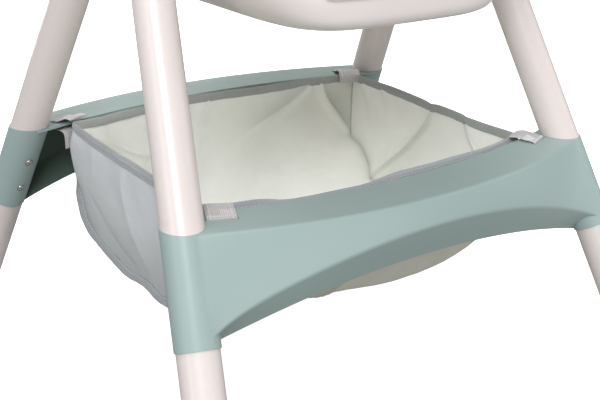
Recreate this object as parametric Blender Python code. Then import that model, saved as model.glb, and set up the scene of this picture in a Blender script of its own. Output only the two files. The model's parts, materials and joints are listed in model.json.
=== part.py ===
"""High chair: splayed tubular legs, bowed crossbars, a fabric basket, a tub seat and a sliding tray.

Frame: +Z up, the origin on the floor under the middle of the chair, the child looks along -Y.
Every length is in metres.
"""
import math

import bmesh
import bpy
from mathutils import Vector

# ---------------------------------------------------------------- driving dimensions
GAP = 0.0004             # clearance between two pieces that touch
RIM_Z = 0.290            # top of the crossbars

TUBE_R = 0.0195
TUBE_WALL = 0.0016
HALF_W = 0.2600          # leg axis, sideways, at the top of the crossbars
HALF_D = 0.1846          # leg axis, front to back, at the top of the crossbars
SPLAY_X = 0.154          # how far a leg moves out sideways for each metre down
SPLAY_Y = 0.516          # how far it moves out to the front or the back
LEG_BOTTOM_Z = 0.0190
LEG_TOP_Z = 0.572

BOOT_R = 0.0232
BOOT_FLARE_R = 0.0262
BOOT_TOP_Z = 0.050
BOOT_BORE_Z = 0.0182

BAR_WALL = 0.0028
BAR_HEIGHT = 0.1026      # sleeve height along the middle of a leg
SLEEVE_R = 0.0225
BAR_OUTER_MID = 0.2585   # front face of a crossbar from the middle plane, at its centre
BAR_OUTER_BOW_R = 0.709
BAR_INNER_MID = 0.1970   # free edge of the top flange, at its centre
BAR_INNER_BOW_R = 0.850
FACE_SLOPE_MID = 0.27
CREASE_MID = -0.0277     # crease between the face and the scooped lower band, below the top
CREASE_DROP = 0.90
LOW_MID_Z = -0.0720      # free lower edge at the centre, below the top
LOW_MID_Y = 0.2405
LOW_DROP = 0.0400        # how much lower that edge is near a sleeve
LOW_TUCK = 0.0180        # how much nearer to the basket
SLEEVE_X = 0.2500

SCREW_DROPS = (0.0358, 0.0736)
SCREW_HEAD_R = 0.0040
SCREW_POCKET_R = 0.0050
SCREW_SHANK_R = 0.0020
SCREW_TURN = 0.11        # how far the screws are turned towards the middle of the crossbar

SLOT_X = 0.2190          # middle of a strap's slot
SLOT_INSET = 0.0200      # from the flange's free edge to the middle of the slot
SLOT_SIZE = (0.0330, 0.0050)
STRAP_TURN = 23.0        # degrees; each strap pulls its corner of the basket outwards
STRAP_WIDTH = 0.030
STRAP_THICK = 0.0012

RIM_HALF_X = 0.221
RIM_HALF_Y = 0.163
RIM_BOW = (0.0295, 0.0200)   # how far the rim bows out in the middle: front, rear
RIM_CORNER_R = 0.022
BASKET_TOP_Z = 0.287
BASKET_FLOOR_Z = 0.152       # floor edge, along the side seams
BASKET_SAG = 0.036
BASKET_WALL = 0.0020
# The basket's outer size at a height: (z, half width, half depth, bow share, corner radius).
BASKET_LEVELS = (
    (0.152, 0.2080, 0.1100, 0.00, 0.006),
    (0.166, 0.2078, 0.1300, 0.12, 0.006),
    (0.188, 0.2074, 0.1450, 0.28, 0.007),
    (0.212, 0.2080, 0.1520, 0.45, 0.009),
    (0.250, 0.2140, 0.1575, 0.72, 0.014),
    (0.287, 0.2210, 0.1630, 1.00, 0.022),
)
SEAM_TAPE = (0.0014, 0.0094, 0.0014)   # from the seam out to the tape's edges, and its thickness

HUB_Z = 0.606
HUB_R = 0.036
HUB_SLEEVE_R = 0.0245
HUB_BOSS_X = 0.1803      # face of the boss that the tub is bolted against
HUB_BOSS_R = 0.020
HUB_INNER_X = 0.1870
HUB_OUTER_X = 0.2360
HUB_RIM = 0.004
HUB_SOCKET_Z = 0.540     # lower end of the sleeves that take the legs
COUNTERBORE_X = 0.2290
COUNTERBORE_R = 0.0185
BOLT_R = 0.0040
BOLT_HEAD_R = 0.0085
BOLT_TIP_X = 0.1700
NUT_X = 0.1738
NUT_FLANGE_R = 0.0090
NUT_R = 0.0068
CAP_X = 0.2342
CAP_R = 0.0181

SEAT_Z = 0.458           # underside of the tub
SEAT_FRONT_Z = 0.492
SEAT_ARM_Z = 0.655
SEAT_BACK_Z = 0.980
SEAT_WALL = 0.0035
TUB_SQUARENESS = 0.43    # 1 would be an ellipse in plan, 0 a rectangle
CUSHION_THICK = 0.016
CUSHION_GAP = 0.0030     # between the tub's wall and its cushion
HARNESS_SLOT_X = 0.033
HARNESS_SLOT_Z = 0.790

ARM_Y = (-0.158, -0.004)
ARM_X = (0.172, 0.206)
ARM_Z = (0.6555, 0.6740)
TRAY_HALF_X = 0.238
TRAY_Y = (-0.350, -0.046)
TRAY_Z = 0.6870
BELLY_NOTCH = 0.050

CREAM = ("cream_plastic", (0.80, 0.72, 0.66, 1), 0.30)
TUBE_PAINT = ("cream_tube", (0.82, 0.74, 0.68, 1), 0.22)
SAGE = ("sage_plastic", (0.36, 0.47, 0.45, 1), 0.45)
RUBBER = ("grey_rubber", (0.30, 0.32, 0.31, 1), 0.80)
STEEL = ("steel", (0.62, 0.62, 0.60, 1), 0.25)
FABRIC = ("basket_fabric", (0.62, 0.65, 0.63, 1), 0.80)
TAPE = ("grey_tape", (0.42, 0.45, 0.46, 1), 0.75)
WEBBING = ("pale_webbing", (0.74, 0.70, 0.70, 1), 0.60)
LEATHER = ("cushion_leather", (0.30, 0.29, 0.27, 1), 0.50)
HARNESS = ("harness_webbing", (0.16, 0.17, 0.17, 1), 0.80)
BUCKLE = ("buckle_plastic", (0.12, 0.13, 0.13, 1), 0.40)


# ---------------------------------------------------------------- helpers
def clear_scene():
    for obj in list(bpy.data.objects):
        bpy.data.objects.remove(obj)


def material(spec):
    name, colour, roughness = spec
    found = bpy.data.materials.get(name)
    if found:
        return found
    made = bpy.data.materials.new(name)
    made.use_nodes = True
    shader = made.node_tree.nodes["Principled BSDF"]
    shader.inputs["Base Color"].default_value = colour
    shader.inputs["Roughness"].default_value = roughness
    shader.inputs["Metallic"].default_value = 1.0 if name == "steel" else 0.0
    return made


def add_object(name, vertices, faces, spec=CREAM, sharp_deg=40):
    """A closed mesh object, with its faces turned outwards and its round stretches shaded smooth."""
    mesh = bpy.data.meshes.new(name)
    mesh.from_pydata([tuple(v) for v in vertices], [], faces)
    work = bmesh.new()
    work.from_mesh(mesh)
    bmesh.ops.recalc_face_normals(work, faces=work.faces)
    work.to_mesh(mesh)
    work.free()
    mesh.shade_smooth()
    mesh.set_sharp_from_angle(angle=math.radians(sharp_deg))
    obj = bpy.data.objects.new(name, mesh)
    obj.data.materials.append(material(spec))
    bpy.context.scene.collection.objects.link(obj)
    return obj


def loft(name, rings, spec=CREAM, join_ends=False, sharp_deg=40):
    """Joins closed rings of equal length. The ends are capped, or joined to each other."""
    count = len(rings[0])
    vertices = [p for ring in rings for p in ring]
    faces = []
    spans = len(rings) if join_ends else len(rings) - 1
    for k in range(spans):
        a, b = k * count, ((k + 1) % len(rings)) * count
        for i in range(count):
            j = (i + 1) % count
            faces.append((a + i, a + j, b + j, b + i))
    if not join_ends:
        faces.append(tuple(range(count)))
        faces.append(tuple(range((len(rings) - 1) * count, len(rings) * count)))
    return add_object(name, vertices, faces, spec, sharp_deg)


def bowl(name, outer, inner, spec=CREAM, sharp_deg=40):
    """A bowl from two stacks of rings, each from the middle of its floor up to the rim."""
    return loft(name, outer + inner[::-1], spec, sharp_deg=sharp_deg)


def boolean(target, tool, operation="DIFFERENCE"):
    tool.hide_render = True
    tool.display_type = "WIRE"
    modifier = target.modifiers.new(tool.name, "BOOLEAN")
    modifier.operation = operation
    modifier.object = tool
    modifier.solver = "EXACT"


def block(name, low, high, spec=CREAM, bevel=0.0, segments=2):
    """A box between two corners, with its edges rounded by a Bevel."""
    xs, ys, zs = zip(low, high)
    vertices = [(x, y, z) for x in xs for y in ys for z in zs]
    faces = [(0, 1, 3, 2), (4, 6, 7, 5), (0, 4, 5, 1), (2, 3, 7, 6), (0, 2, 6, 4), (1, 5, 7, 3)]
    made = add_object(name, vertices, faces, spec)
    if bevel:
        modifier = made.modifiers.new("rounding", "BEVEL")
        modifier.width = bevel
        modifier.segments = segments
    return made


def smoothstep(low, high, value):
    """0 at low and 1 at high, which may lie below low."""
    t = min(1.0, max(0.0, (value - low) / (high - low)))
    return t * t * (3 - 2 * t)


def along(table, value):
    """Reads a table of (place, number) rows, with straight lines between its rows."""
    for (a, x), (b, y) in zip(table, table[1:]):
        if value <= b:
            return x + (y - x) * max(0.0, value - a) / (b - a)
    return table[-1][1]


def frame_of(axis):
    """Two unit vectors across an axis."""
    side = axis.cross(Vector((0, 0, 1)) if abs(axis.z) < 0.9 else Vector((1, 0, 0))).normalized()
    return side, axis.cross(side).normalized()


def turned(name, start, axis, profile, spec=CREAM, segments=12, sharp_deg=40):
    """A solid of revolution: profile holds (distance along the axis, radius), both ends capped."""
    axis = Vector(axis).normalized()
    side, up = frame_of(axis)
    rings = []
    for distance, radius in profile:
        middle = Vector(start) + axis * distance
        turns = [2 * math.pi * i / segments for i in range(segments)]
        rings.append([middle + (side * math.cos(t) + up * math.sin(t)) * radius for t in turns])
    return loft(name, rings, spec, sharp_deg=sharp_deg)


def ribbon(name, points, across, width, thick, spec):
    """A flat strap: its middle line runs through points, and across is the direction of its width."""
    across = Vector(across).normalized()
    points = [Vector(p) for p in points]
    rings = []
    for k, point in enumerate(points):
        run = (points[min(k + 1, len(points) - 1)] - points[max(k - 1, 0)]).normalized()
        up = run.cross(across).normalized()
        half, rise = across * (width / 2), up * (thick / 2)
        rings.append([point - half - rise, point + half - rise, point + half + rise, point - half + rise])
    return loft(name, rings, spec)


# ---------------------------------------------------------------- legs
def leg_axis(side, end, z):
    """A point on a leg's axis. side is -1 left or 1 right, end is -1 front or 1 rear."""
    drop = RIM_Z - z
    return Vector((side * (HALF_W + SPLAY_X * drop), end * (HALF_D + SPLAY_Y * drop), z))


def leg_run(side, end):
    return (leg_axis(side, end, 1.0) - leg_axis(side, end, 0.0)).normalized()


def leg_ring(side, end, z, radius, level=False, count=20):
    """A ring round a leg: square to it, or level with the floor."""
    run = leg_run(side, end)
    across, up = frame_of(run)
    ring = []
    for i in range(count):
        turn = 2 * math.pi * i / count
        offset = (across * math.cos(turn) + up * math.sin(turn)) * radius
        if level:
            offset -= run * (offset.z / run.z)
        ring.append(leg_axis(side, end, z) + offset)
    return ring


def leg_cylinder(name, side, end, low_z, high_z, radius, level=False):
    rings = [leg_ring(side, end, z, radius, level) for z in (low_z, high_z)]
    return loft(name, rings)


def leg_name(side, end):
    return f"{'front' if end < 0 else 'rear'}_{'left' if side < 0 else 'right'}"


def screw_point(side, end, drop):
    """The point on a leg's axis behind a crossbar screw."""
    return leg_axis(side, end, RIM_Z - drop)


def screw_way(side, end):
    """The way a crossbar screw's head points: square to the leg, towards the basket."""
    run = leg_run(side, end)
    aim = Vector((-SCREW_TURN * side, -end, 0))
    return (aim - run * aim.dot(run)).normalized()


def screw_seat(side, end, drop, clearance=0.0):
    """Where a screw head sits in its pocket, just inside the sleeve's surface."""
    return screw_point(side, end, drop) + screw_way(side, end) * (SLEEVE_R - 0.0012 + clearance)


def make_leg(side, end):
    inner_r = TUBE_R - TUBE_WALL
    rings = [
        leg_ring(side, end, LEG_BOTTOM_Z, TUBE_R),
        leg_ring(side, end, LEG_TOP_Z, TUBE_R),
        leg_ring(side, end, LEG_TOP_Z, inner_r),
        leg_ring(side, end, LEG_BOTTOM_Z, inner_r),
    ]
    tube = loft(f"leg_tube_{leg_name(side, end)}", rings, TUBE_PAINT, join_ends=True)
    for k, drop in enumerate(SCREW_DROPS):
        hole = [(0.0, SCREW_SHANK_R + GAP), (0.05, SCREW_SHANK_R + GAP)]
        start = screw_point(side, end, drop)
        boolean(tube, turned(f"cut_leg_{leg_name(side, end)}_{k}", start, screw_way(side, end), hole))


def make_boot(side, end):
    bore = TUBE_R + GAP
    rings = [
        leg_ring(side, end, 0.0, BOOT_R, level=True),
        leg_ring(side, end, 0.004, BOOT_FLARE_R, level=True),
        leg_ring(side, end, 0.014, BOOT_FLARE_R, level=True),
        leg_ring(side, end, 0.026, BOOT_R),
        leg_ring(side, end, BOOT_TOP_Z, BOOT_R),
        leg_ring(side, end, BOOT_TOP_Z, bore),
        leg_ring(side, end, BOOT_BORE_Z, bore),
    ]
    loft(f"foot_boot_{leg_name(side, end)}", rings, RUBBER)


# ---------------------------------------------------------------- crossbars
def bar_inner_y(x):
    return BAR_INNER_MID - x * x / (2 * BAR_INNER_BOW_R)


def bar_outer_y(x):
    return BAR_OUTER_MID - (BAR_OUTER_BOW_R - math.sqrt(BAR_OUTER_BOW_R ** 2 - x * x))


def bar_outline(share):
    """The channel's outer line at one station, as (y, z below the top) points. share runs from -1 to 1."""
    x = share * HALF_W
    slope = FACE_SLOPE_MID + (SPLAY_Y - FACE_SLOPE_MID) * abs(share) ** 8
    low_z = LOW_MID_Z - LOW_DROP * (abs(x) / SLEEVE_X) ** 2.2
    crease_z = CREASE_MID - CREASE_DROP * x * x
    top_y = bar_outer_y(x)
    crease = Vector((top_y - slope * crease_z, crease_z))
    low = Vector((LOW_MID_Y - LOW_TUCK * (abs(x) / SLEEVE_X) ** 2.6, low_z))
    soften = min(0.004, 0.35 * (crease - low).length)
    face_run = Vector((slope, -1)).normalized()
    band_run = (low - crease).normalized()
    corner = Vector((top_y, 0.0))
    return [
        Vector((bar_inner_y(x), 0.0)),
        corner + Vector((-0.0050, 0.0)),
        corner + Vector((-0.0014, -0.0012)),
        corner + face_run * 0.0055,
        crease - face_run * soften,
        crease + (band_run - face_run) * soften * 0.22,
        crease + band_run * soften,
        low,
    ]


def offset_line(line, distance):
    """The line moved to its inner side by the wall thickness, with mitred corners."""
    moved = []
    for k, point in enumerate(line):
        before = (point - line[k - 1]).normalized() if k else None
        after = (line[k + 1] - point).normalized() if k + 1 < len(line) else None
        first = before or after
        second = after or before
        normal_a = Vector((first.y, -first.x))
        normal_b = Vector((second.y, -second.x))
        miter = (normal_a + normal_b).normalized()
        moved.append(point + miter * (distance / max(0.5, miter.dot(normal_a))))
    return moved


def make_channel(name, end):
    stations = 28
    rings = []
    for k in range(stations + 1):
        share = -1 + 2 * k / stations
        line = bar_outline(share)
        loop = line + offset_line(line, BAR_WALL)[::-1]
        rings.append([
            Vector((share * (HALF_W - SPLAY_X * p.y), end * p.x, RIM_Z + p.y)) for p in loop
        ])
    return loft(name, rings, SAGE, sharp_deg=32)


def strap_frame(side, end):
    """The middle of a strap's slot, the way the strap runs out to it, and the way across the strap."""
    turn = math.radians(STRAP_TURN)
    middle = Vector((side * SLOT_X, end * (bar_inner_y(SLOT_X) + SLOT_INSET), RIM_Z))
    outward = Vector((side * math.sin(turn), end * math.cos(turn), 0))
    across = Vector((side * math.cos(turn), -end * math.sin(turn), 0))
    return middle, outward, across


def slot_cutter(name, middle, outward, across):
    half_width = across * (SLOT_SIZE[0] / 2)
    half_gap = outward * (SLOT_SIZE[1] / 2)
    rings = []
    for z in (-0.012, 0.010):
        centre = middle + Vector((0, 0, z))
        corners = ((-1, -1), (1, -1), (1, 1), (-1, 1))
        rings.append([centre + half_width * p + half_gap * q for p, q in corners])
    return loft(name, rings, SAGE)


def make_crossbar(end):
    label = "front" if end < 0 else "rear"
    bar = make_channel(f"crossbar_{label}", end)
    for side in (-1, 1):
        tag = f"{label}_{side}"
        square_end = leg_ring(side, end, RIM_Z - BAR_HEIGHT, SLEEVE_R)
        level_end = leg_ring(side, end, RIM_Z + 0.0006, SLEEVE_R, level=True)
        boolean(bar, loft(f"sleeve_{tag}", [square_end, level_end]), "UNION")
    for side in (-1, 1):
        tag = f"{label}_{side}"
        bore = leg_cylinder(f"bore_{tag}", side, end, RIM_Z - 0.14, RIM_Z + 0.03, TUBE_R + GAP, True)
        boolean(bar, bore)
        middle, outward, across = strap_frame(side, end)
        boolean(bar, slot_cutter(f"slot_{tag}", middle, outward, across))
        for k, drop in enumerate(SCREW_DROPS):
            way = screw_way(side, end)
            pocket = [(0.0, SCREW_POCKET_R), (0.02, SCREW_POCKET_R)]
            boolean(bar, turned(f"pocket_{tag}_{k}", screw_seat(side, end, drop), way, pocket))
            hole = [(0.0, SCREW_SHANK_R + GAP), (0.04, SCREW_SHANK_R + GAP)]
            boolean(bar, turned(f"hole_{tag}_{k}", screw_point(side, end, drop), way, hole))


def make_screw(side, end, index):
    drop = SCREW_DROPS[index]
    seat = screw_seat(side, end, drop, GAP)
    profile = [
        (-0.0060, SCREW_SHANK_R - 0.0004),
        (-0.0052, SCREW_SHANK_R),
        (0.0, SCREW_SHANK_R),
        (0.0, SCREW_HEAD_R),
        (0.0010, SCREW_HEAD_R),
        (0.0022, SCREW_HEAD_R * 0.60),
        (0.0011, SCREW_HEAD_R * 0.50),
    ]
    height = ("upper", "lower")[index]
    turned(f"crossbar_screw_{leg_name(side, end)}_{height}", seat, screw_way(side, end), profile,
           STEEL, segments=8)


# ---------------------------------------------------------------- basket
def basket_ring(half_x, half_y, bow_share, z, corner_r, per_side=7, per_corner=3):
    """A level ring: a rounded rectangle whose front and rear sides bow outwards."""
    ring = []
    quarter = [(1, 1, 0), (-1, 1, 90), (-1, -1, 180), (1, -1, 270)]
    for side_x, side_y, start in quarter:
        for k in range(per_corner + 1):
            turn = math.radians(start + 90 * k / per_corner)
            x = side_x * (half_x - corner_r) + corner_r * math.cos(turn)
            y = side_y * (half_y - corner_r) + corner_r * math.sin(turn)
            ring.append(Vector((x, y, z)))
        long_side = start in (0, 180)
        steps = per_side if long_side else per_side - 2
        for k in range(1, steps):
            share = 1 - 2 * k / steps
            if long_side:
                ring.append(Vector((side_x * (half_x - corner_r) * share, side_y * half_y, z)))
            else:
                ring.append(Vector((side_x * half_x, side_y * (half_y - corner_r) * share, z)))
    for p in ring:
        bow = RIM_BOW[0 if p.y < 0 else 1] * bow_share
        reach = bow * (1 - (p.x / half_x) ** 2) * smoothstep(0.0, half_y * 0.9, abs(p.y))
        p.y += math.copysign(reach, p.y)
    return ring


def basket_stack(inset):
    """Rings from the middle of the basket's floor up to its rim."""
    z, half_x, half_y, bow_share, corner_r = BASKET_LEVELS[0]
    stack = []
    for share in (0.04, 0.35, 0.65, 0.88):
        floor_z = z + inset - BASKET_SAG * (1 - share ** 2.2)
        stack.append(basket_ring(
            (half_x - inset) * share, (half_y - inset) * share, bow_share, floor_z, corner_r * share))
    for z, half_x, half_y, bow_share, corner_r in BASKET_LEVELS:
        rise = inset * (BASKET_TOP_Z - z) / (BASKET_TOP_Z - BASKET_FLOOR_Z)
        stack.append(basket_ring(half_x - inset, half_y - inset, bow_share, z + rise, corner_r))
    return stack


def make_rim_binding():
    """A closed band of tape round the rim. section holds (outwards, upwards) offsets."""
    section = [
        (-0.0030, -0.0024), (0.0010, -0.0024), (0.0012, 0.0020),
        (0.0006, 0.0056), (-0.0022, 0.0060), (-0.0034, 0.0030),
    ]
    rings = []
    for out, up in section:
        rings.append(basket_ring(RIM_HALF_X + out, RIM_HALF_Y + out, 1.0, RIM_Z + up, RIM_CORNER_R))
    loft("basket_rim_binding", rings, TAPE, join_ends=True)


def seam_points(side):
    """The seam round a side panel, from the rear rim to the front one: points with their outward ways."""
    rows = []
    for z, half_x, half_y, _, corner_r in BASKET_LEVELS[::-1]:
        tuck = corner_r * (1 - math.sqrt(0.5))
        point = Vector((half_x - tuck, half_y - tuck, min(z, BASKET_TOP_Z - 0.0012)))
        down = smoothstep(0.215, BASKET_FLOOR_Z, z)
        rows.append((point, Vector((1, 1 - 0.6 * down, -1.3 * down)).normalized()))
    lowest = rows[-1][0]
    for share in (0.6, 0.2):
        rows.append((Vector((lowest.x, lowest.y * share, lowest.z)), Vector((1, 0, -1)).normalized()))
    rows += [(Vector((p.x, -p.y, p.z)), Vector((w.x, -w.y, w.z))) for p, w in rows[::-1]]
    return [(Vector((side * p.x, p.y, p.z)), Vector((side * w.x, w.y, w.z))) for p, w in rows]


def make_seam_tape(side):
    """A flat band of tape that stands out from the seam round a side panel."""
    near, far, thick = SEAM_TAPE
    rows = seam_points(side)
    rings = []
    for k, (point, out) in enumerate(rows):
        run = (rows[min(k + 1, len(rows) - 1)][0] - rows[max(k - 1, 0)][0]).normalized()
        flat = (out - run * out.dot(run)).normalized()
        up = run.cross(flat) * (thick / 2)
        corners = ((near, -1), (far, -1), (far, 1), (near, 1))
        rings.append([point + flat * reach + up * way for reach, way in corners])
    loft(f"basket_seam_tape_{'left' if side < 0 else 'right'}", rings, TAPE)


def make_basket():
    bowl("basket_body", basket_stack(0.0), basket_stack(BASKET_WALL), FABRIC)
    make_rim_binding()
    for side in (-1, 1):
        make_seam_tape(side)
        for end in (-1, 1):
            make_strap(side, end)


def make_strap(side, end):
    """A webbing loop from the basket's corner over the flange, through its slot and back under it."""
    middle, outward, across = strap_frame(side, end)
    route = [
        (-0.0300, 0.0088), (-0.0225, 0.0084), (-0.0165, 0.0050), (-0.0090, 0.0030), (-0.0012, 0.0012),
        (0.0000, -0.0030), (-0.0012, -0.0072), (-0.0085, -0.0086), (-0.0155, -0.0088), (-0.0215, -0.0130),
        (-0.0220, -0.0310),
    ]
    points = [middle + outward * far + Vector((0, 0, rise)) for far, rise in route]
    ribbon(f"basket_strap_{leg_name(side, end)}", points, across, STRAP_WIDTH, STRAP_THICK, WEBBING)


# ---------------------------------------------------------------- hubs
def make_hub(side):
    label = "left" if side < 0 else "right"
    step = HUB_INNER_X - HUB_BOSS_X
    width = HUB_OUTER_X - HUB_BOSS_X
    start = (side * HUB_BOSS_X, 0, HUB_Z)
    profile = [
        (0, HUB_BOSS_R), (step, HUB_BOSS_R), (step, HUB_R - HUB_RIM / 4), (step + HUB_RIM / 2, HUB_R),
        (width - HUB_RIM, HUB_R), (width, HUB_R - HUB_RIM),
    ]
    hub = turned(f"leg_hub_{label}", start, (side, 0, 0), profile, SAGE, segments=28)
    for end in (-1, 1):
        socket = leg_cylinder(f"socket_{label}_{end}", side, end, HUB_SOCKET_Z, HUB_Z - 0.004, HUB_SLEEVE_R)
        boolean(hub, socket, "UNION")
    for end in (-1, 1):
        bore = leg_cylinder(f"hub_bore_{label}_{end}", side, end, 0.50, LEG_TOP_Z + 0.0006, TUBE_R + GAP)
        boolean(hub, bore)
    counterbore = [(0, COUNTERBORE_R), (0.03, COUNTERBORE_R)]
    recess_start = (side * COUNTERBORE_X, 0, HUB_Z)
    recess = turned(f"hub_counterbore_{label}", recess_start, (side, 0, 0), counterbore, segments=24)
    boolean(hub, recess)
    bolt_hole = [(-0.05, BOLT_R + 0.0005), (0.08, BOLT_R + 0.0005)]
    boolean(hub, turned(f"hub_bolt_hole_{label}", start, (side, 0, 0), bolt_hole))
    make_seat_bolt(side, label)


def make_seat_bolt(side, label):
    """Bolt, nut and cover cap that hold the tub to a hub."""
    head = COUNTERBORE_X + GAP
    tip = BOLT_TIP_X - head
    bolt = [
        (tip, BOLT_R - 0.0006), (tip + 0.0006, BOLT_R), (0.0, BOLT_R), (0.0, BOLT_HEAD_R),
        (0.0032, BOLT_HEAD_R), (0.0045, BOLT_HEAD_R - 0.0015), (0.0045, BOLT_R), (0.0025, BOLT_R - 0.0005),
    ]
    turned(f"seat_bolt_{label}", (side * head, 0, HUB_Z), (side, 0, 0), bolt, STEEL)
    flanged = [(0, NUT_FLANGE_R), (0.0010, NUT_FLANGE_R), (0.0012, NUT_R), (0.0052, NUT_R)]
    nut = turned(f"seat_nut_{label}", (side * NUT_X, 0, HUB_Z), (-side, 0, 0), flanged, STEEL, segments=6)
    bore = [(0, BOLT_R + GAP), (0.05, BOLT_R + GAP)]
    boolean(nut, turned(f"nut_bore_{label}", (side * 0.20, 0, HUB_Z), (-side, 0, 0), bore))
    cap = [
        (0, CAP_R - 0.0006), (0, CAP_R), (0.0018, CAP_R),
        (0.0030, CAP_R - 0.0016), (0.0036, CAP_R - 0.0061),
    ]
    turned(f"hub_cap_{label}", (side * CAP_X, 0, HUB_Z), (side, 0, 0), cap, CREAM, segments=24)


# ---------------------------------------------------------------- tub seat
# Each table gives the shell's outer size at a height, as (z, size) rows.
TUB_HALF_WIDTH = (
    (0.458, 0.128), (0.461, 0.137), (0.468, 0.146), (0.482, 0.156), (0.500, 0.164),
    (0.550, 0.175), (0.640, 0.180), (0.700, 0.178), (0.850, 0.165), (0.980, 0.150),
)
TUB_FRONT = (
    (0.458, -0.202), (0.461, -0.207), (0.468, -0.211), (0.492, -0.214), (0.655, -0.200), (0.980, -0.190),
)
TUB_BACK = (
    (0.458, 0.104), (0.461, 0.114), (0.468, 0.122), (0.500, 0.132), (0.655, 0.164), (0.980, 0.242),
)


def tub_rim_z(turn):
    """Height of the rim round the tub. turn is 0 at the front and pi at the back."""
    turn = abs(turn)
    arm = SEAT_FRONT_Z + (SEAT_ARM_Z - SEAT_FRONT_Z) * smoothstep(0.42, 1.05, turn)
    return arm + (SEAT_BACK_Z - SEAT_ARM_Z) * smoothstep(1.75, 2.62, turn)


def tub_point(turn, z, inset):
    """A point of the tub's wall at a height, moved in by inset."""
    half = along(TUB_HALF_WIDTH, z) - inset
    front = along(TUB_FRONT, z) + inset
    back = along(TUB_BACK, z) - inset
    across = math.copysign(abs(math.sin(turn)) ** TUB_SQUARENESS, math.sin(turn))
    lengthwise = -math.copysign(abs(math.cos(turn)) ** TUB_SQUARENESS, math.cos(turn))
    middle, reach = (front + back) / 2, (back - front) / 2
    return Vector((half * across, middle + reach * lengthwise, z))


def tub_turns(count):
    """Turns round the tub whose points are about evenly spaced."""
    return [-math.pi + 2 * math.pi * (k + 0.5) / count for k in range(count)]


def tub_stack(inset, levels, count=36):
    """Rings from the middle of the tub's floor up to its rim. levels are shares of the wall's height."""
    stack = []
    floor_z = SEAT_Z + inset
    turns = tub_turns(count)
    foot = [tub_point(t, SEAT_Z, inset) for t in turns]
    middle = Vector((0, sum(p.y for p in foot) / count, 0))
    for share in (0.05, 0.8):
        stack.append([Vector((p.x * share, middle.y + (p.y - middle.y) * share, floor_z)) for p in foot])
    for share in levels:
        ring = []
        for t in turns:
            low_rise = (SEAT_FRONT_Z - SEAT_Z - inset) * share
            z = floor_z + low_rise + (tub_rim_z(t) - SEAT_FRONT_Z) * share ** 2.2
            ring.append(tub_point(t, z - inset * (1 - share), inset))
            ring[-1].z = z
        stack.append(ring)
    return stack


def make_tub():
    levels = (0.0, 0.15, 0.35, 0.6, 0.8, 0.94)
    outside = tub_stack(0.0, levels + (1.0,))
    inside = tub_stack(SEAT_WALL, levels + (1.0,))
    tub = bowl("seat_tub", outside, inside, CREAM, sharp_deg=50)
    under = SEAT_WALL + CUSHION_GAP
    back_face = tub_stack(under, levels)
    front_face = tub_stack(under + CUSHION_THICK, levels)
    cushion = bowl("seat_cushion", back_face, front_face, LEATHER, sharp_deg=50)
    pocket_r = NUT_FLANGE_R + 0.002
    for side in (-1, 1):
        hole = [(0.0, BOLT_R + 0.0005), (0.05, BOLT_R + 0.0005)]
        boolean(tub, turned(f"tub_bolt_hole_{side}", (side * 0.16, 0, HUB_Z), (side, 0, 0), hole))
        pocket = [(0.0, pocket_r), (0.05, pocket_r)]
        pocket_start = (side * 0.1660, 0, HUB_Z)
        boolean(cushion, turned(f"cushion_nut_pocket_{side}", pocket_start, (side, 0, 0), pocket))
        low = (side * HARNESS_SLOT_X - 0.0125, 0.10, HARNESS_SLOT_Z - 0.004)
        high = (side * HARNESS_SLOT_X + 0.0125, 0.30, HARNESS_SLOT_Z + 0.004)
        slot = block(f"harness_slot_{side}", low, high)
        boolean(cushion, slot)
        boolean(tub, slot)


def make_armrests():
    for side, label in ((-1, "left"), (1, "right")):
        xs = sorted((side * ARM_X[0], side * ARM_X[1]))
        block(f"armrest_{label}", (xs[0], ARM_Y[0], ARM_Z[0]), (xs[1], ARM_Y[1], ARM_Z[1]), SAGE, 0.005, 3)


# ---------------------------------------------------------------- tray
def tray_ring(inset, z, count=36):
    """A level ring of the tray's outline: a rounded shape with a hollow for the child's tummy."""
    half = TRAY_HALF_X - inset
    front, back = TRAY_Y[0] + inset, TRAY_Y[1] - inset
    ring = []
    for k in range(count):
        turn = 2 * math.pi * (k + 0.5) / count
        across = math.copysign(abs(math.sin(turn)) ** 0.55, math.sin(turn))
        lengthwise = -math.copysign(abs(math.cos(turn)) ** 0.55, math.cos(turn))
        x = half * across
        y = (front + back) / 2 + (back - front) / 2 * lengthwise
        if lengthwise > 0:
            y -= BELLY_NOTCH * math.exp(-(x / 0.105) ** 2) * lengthwise
        ring.append(Vector((x, y, z)))
    return ring


def shrunk(ring, share):
    middle = sum(ring, Vector()) / len(ring)
    return [middle + (p - middle) * share for p in ring]


def dish(name, outer, inner, spec):
    """A shallow dish. outer and inner hold (inset, z) rows from the floor's edge up to the rim."""
    outer_rings = [tray_ring(inset, z) for inset, z in outer]
    inner_rings = [tray_ring(inset, z) for inset, z in inner]
    outer_rings.insert(0, shrunk(outer_rings[0], 0.2))
    inner_rings.insert(0, shrunk(inner_rings[0], 0.2))
    return bowl(name, outer_rings, inner_rings, spec)


def make_tray():
    z = TRAY_Z
    base_outside = [(0.012, z), (0.004, z + 0.003), (0.0, z + 0.010), (0.0, z + 0.022), (0.003, z + 0.025)]
    base_inside = [(0.024, z + 0.005), (0.018, z + 0.010), (0.011, z + 0.022), (0.007, z + 0.025)]
    dish("tray_base", base_outside, base_inside, CREAM)
    liner_outside = [
        (0.030, z + 0.0056), (0.0225, z + 0.0100), (0.0135, z + 0.0235),
        (0.0120, z + 0.0256), (0.002, z + 0.0258), (0.001, z + 0.0275),
    ]
    liner_inside = [(0.036, z + 0.0085), (0.027, z + 0.0120), (0.018, z + 0.0270), (0.014, z + 0.0285)]
    dish("tray_insert", liner_outside, liner_inside, SAGE)
    for side, label in ((-1, "left"), (1, "right")):
        make_runner(side, label)
        make_button(side, label)


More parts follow.
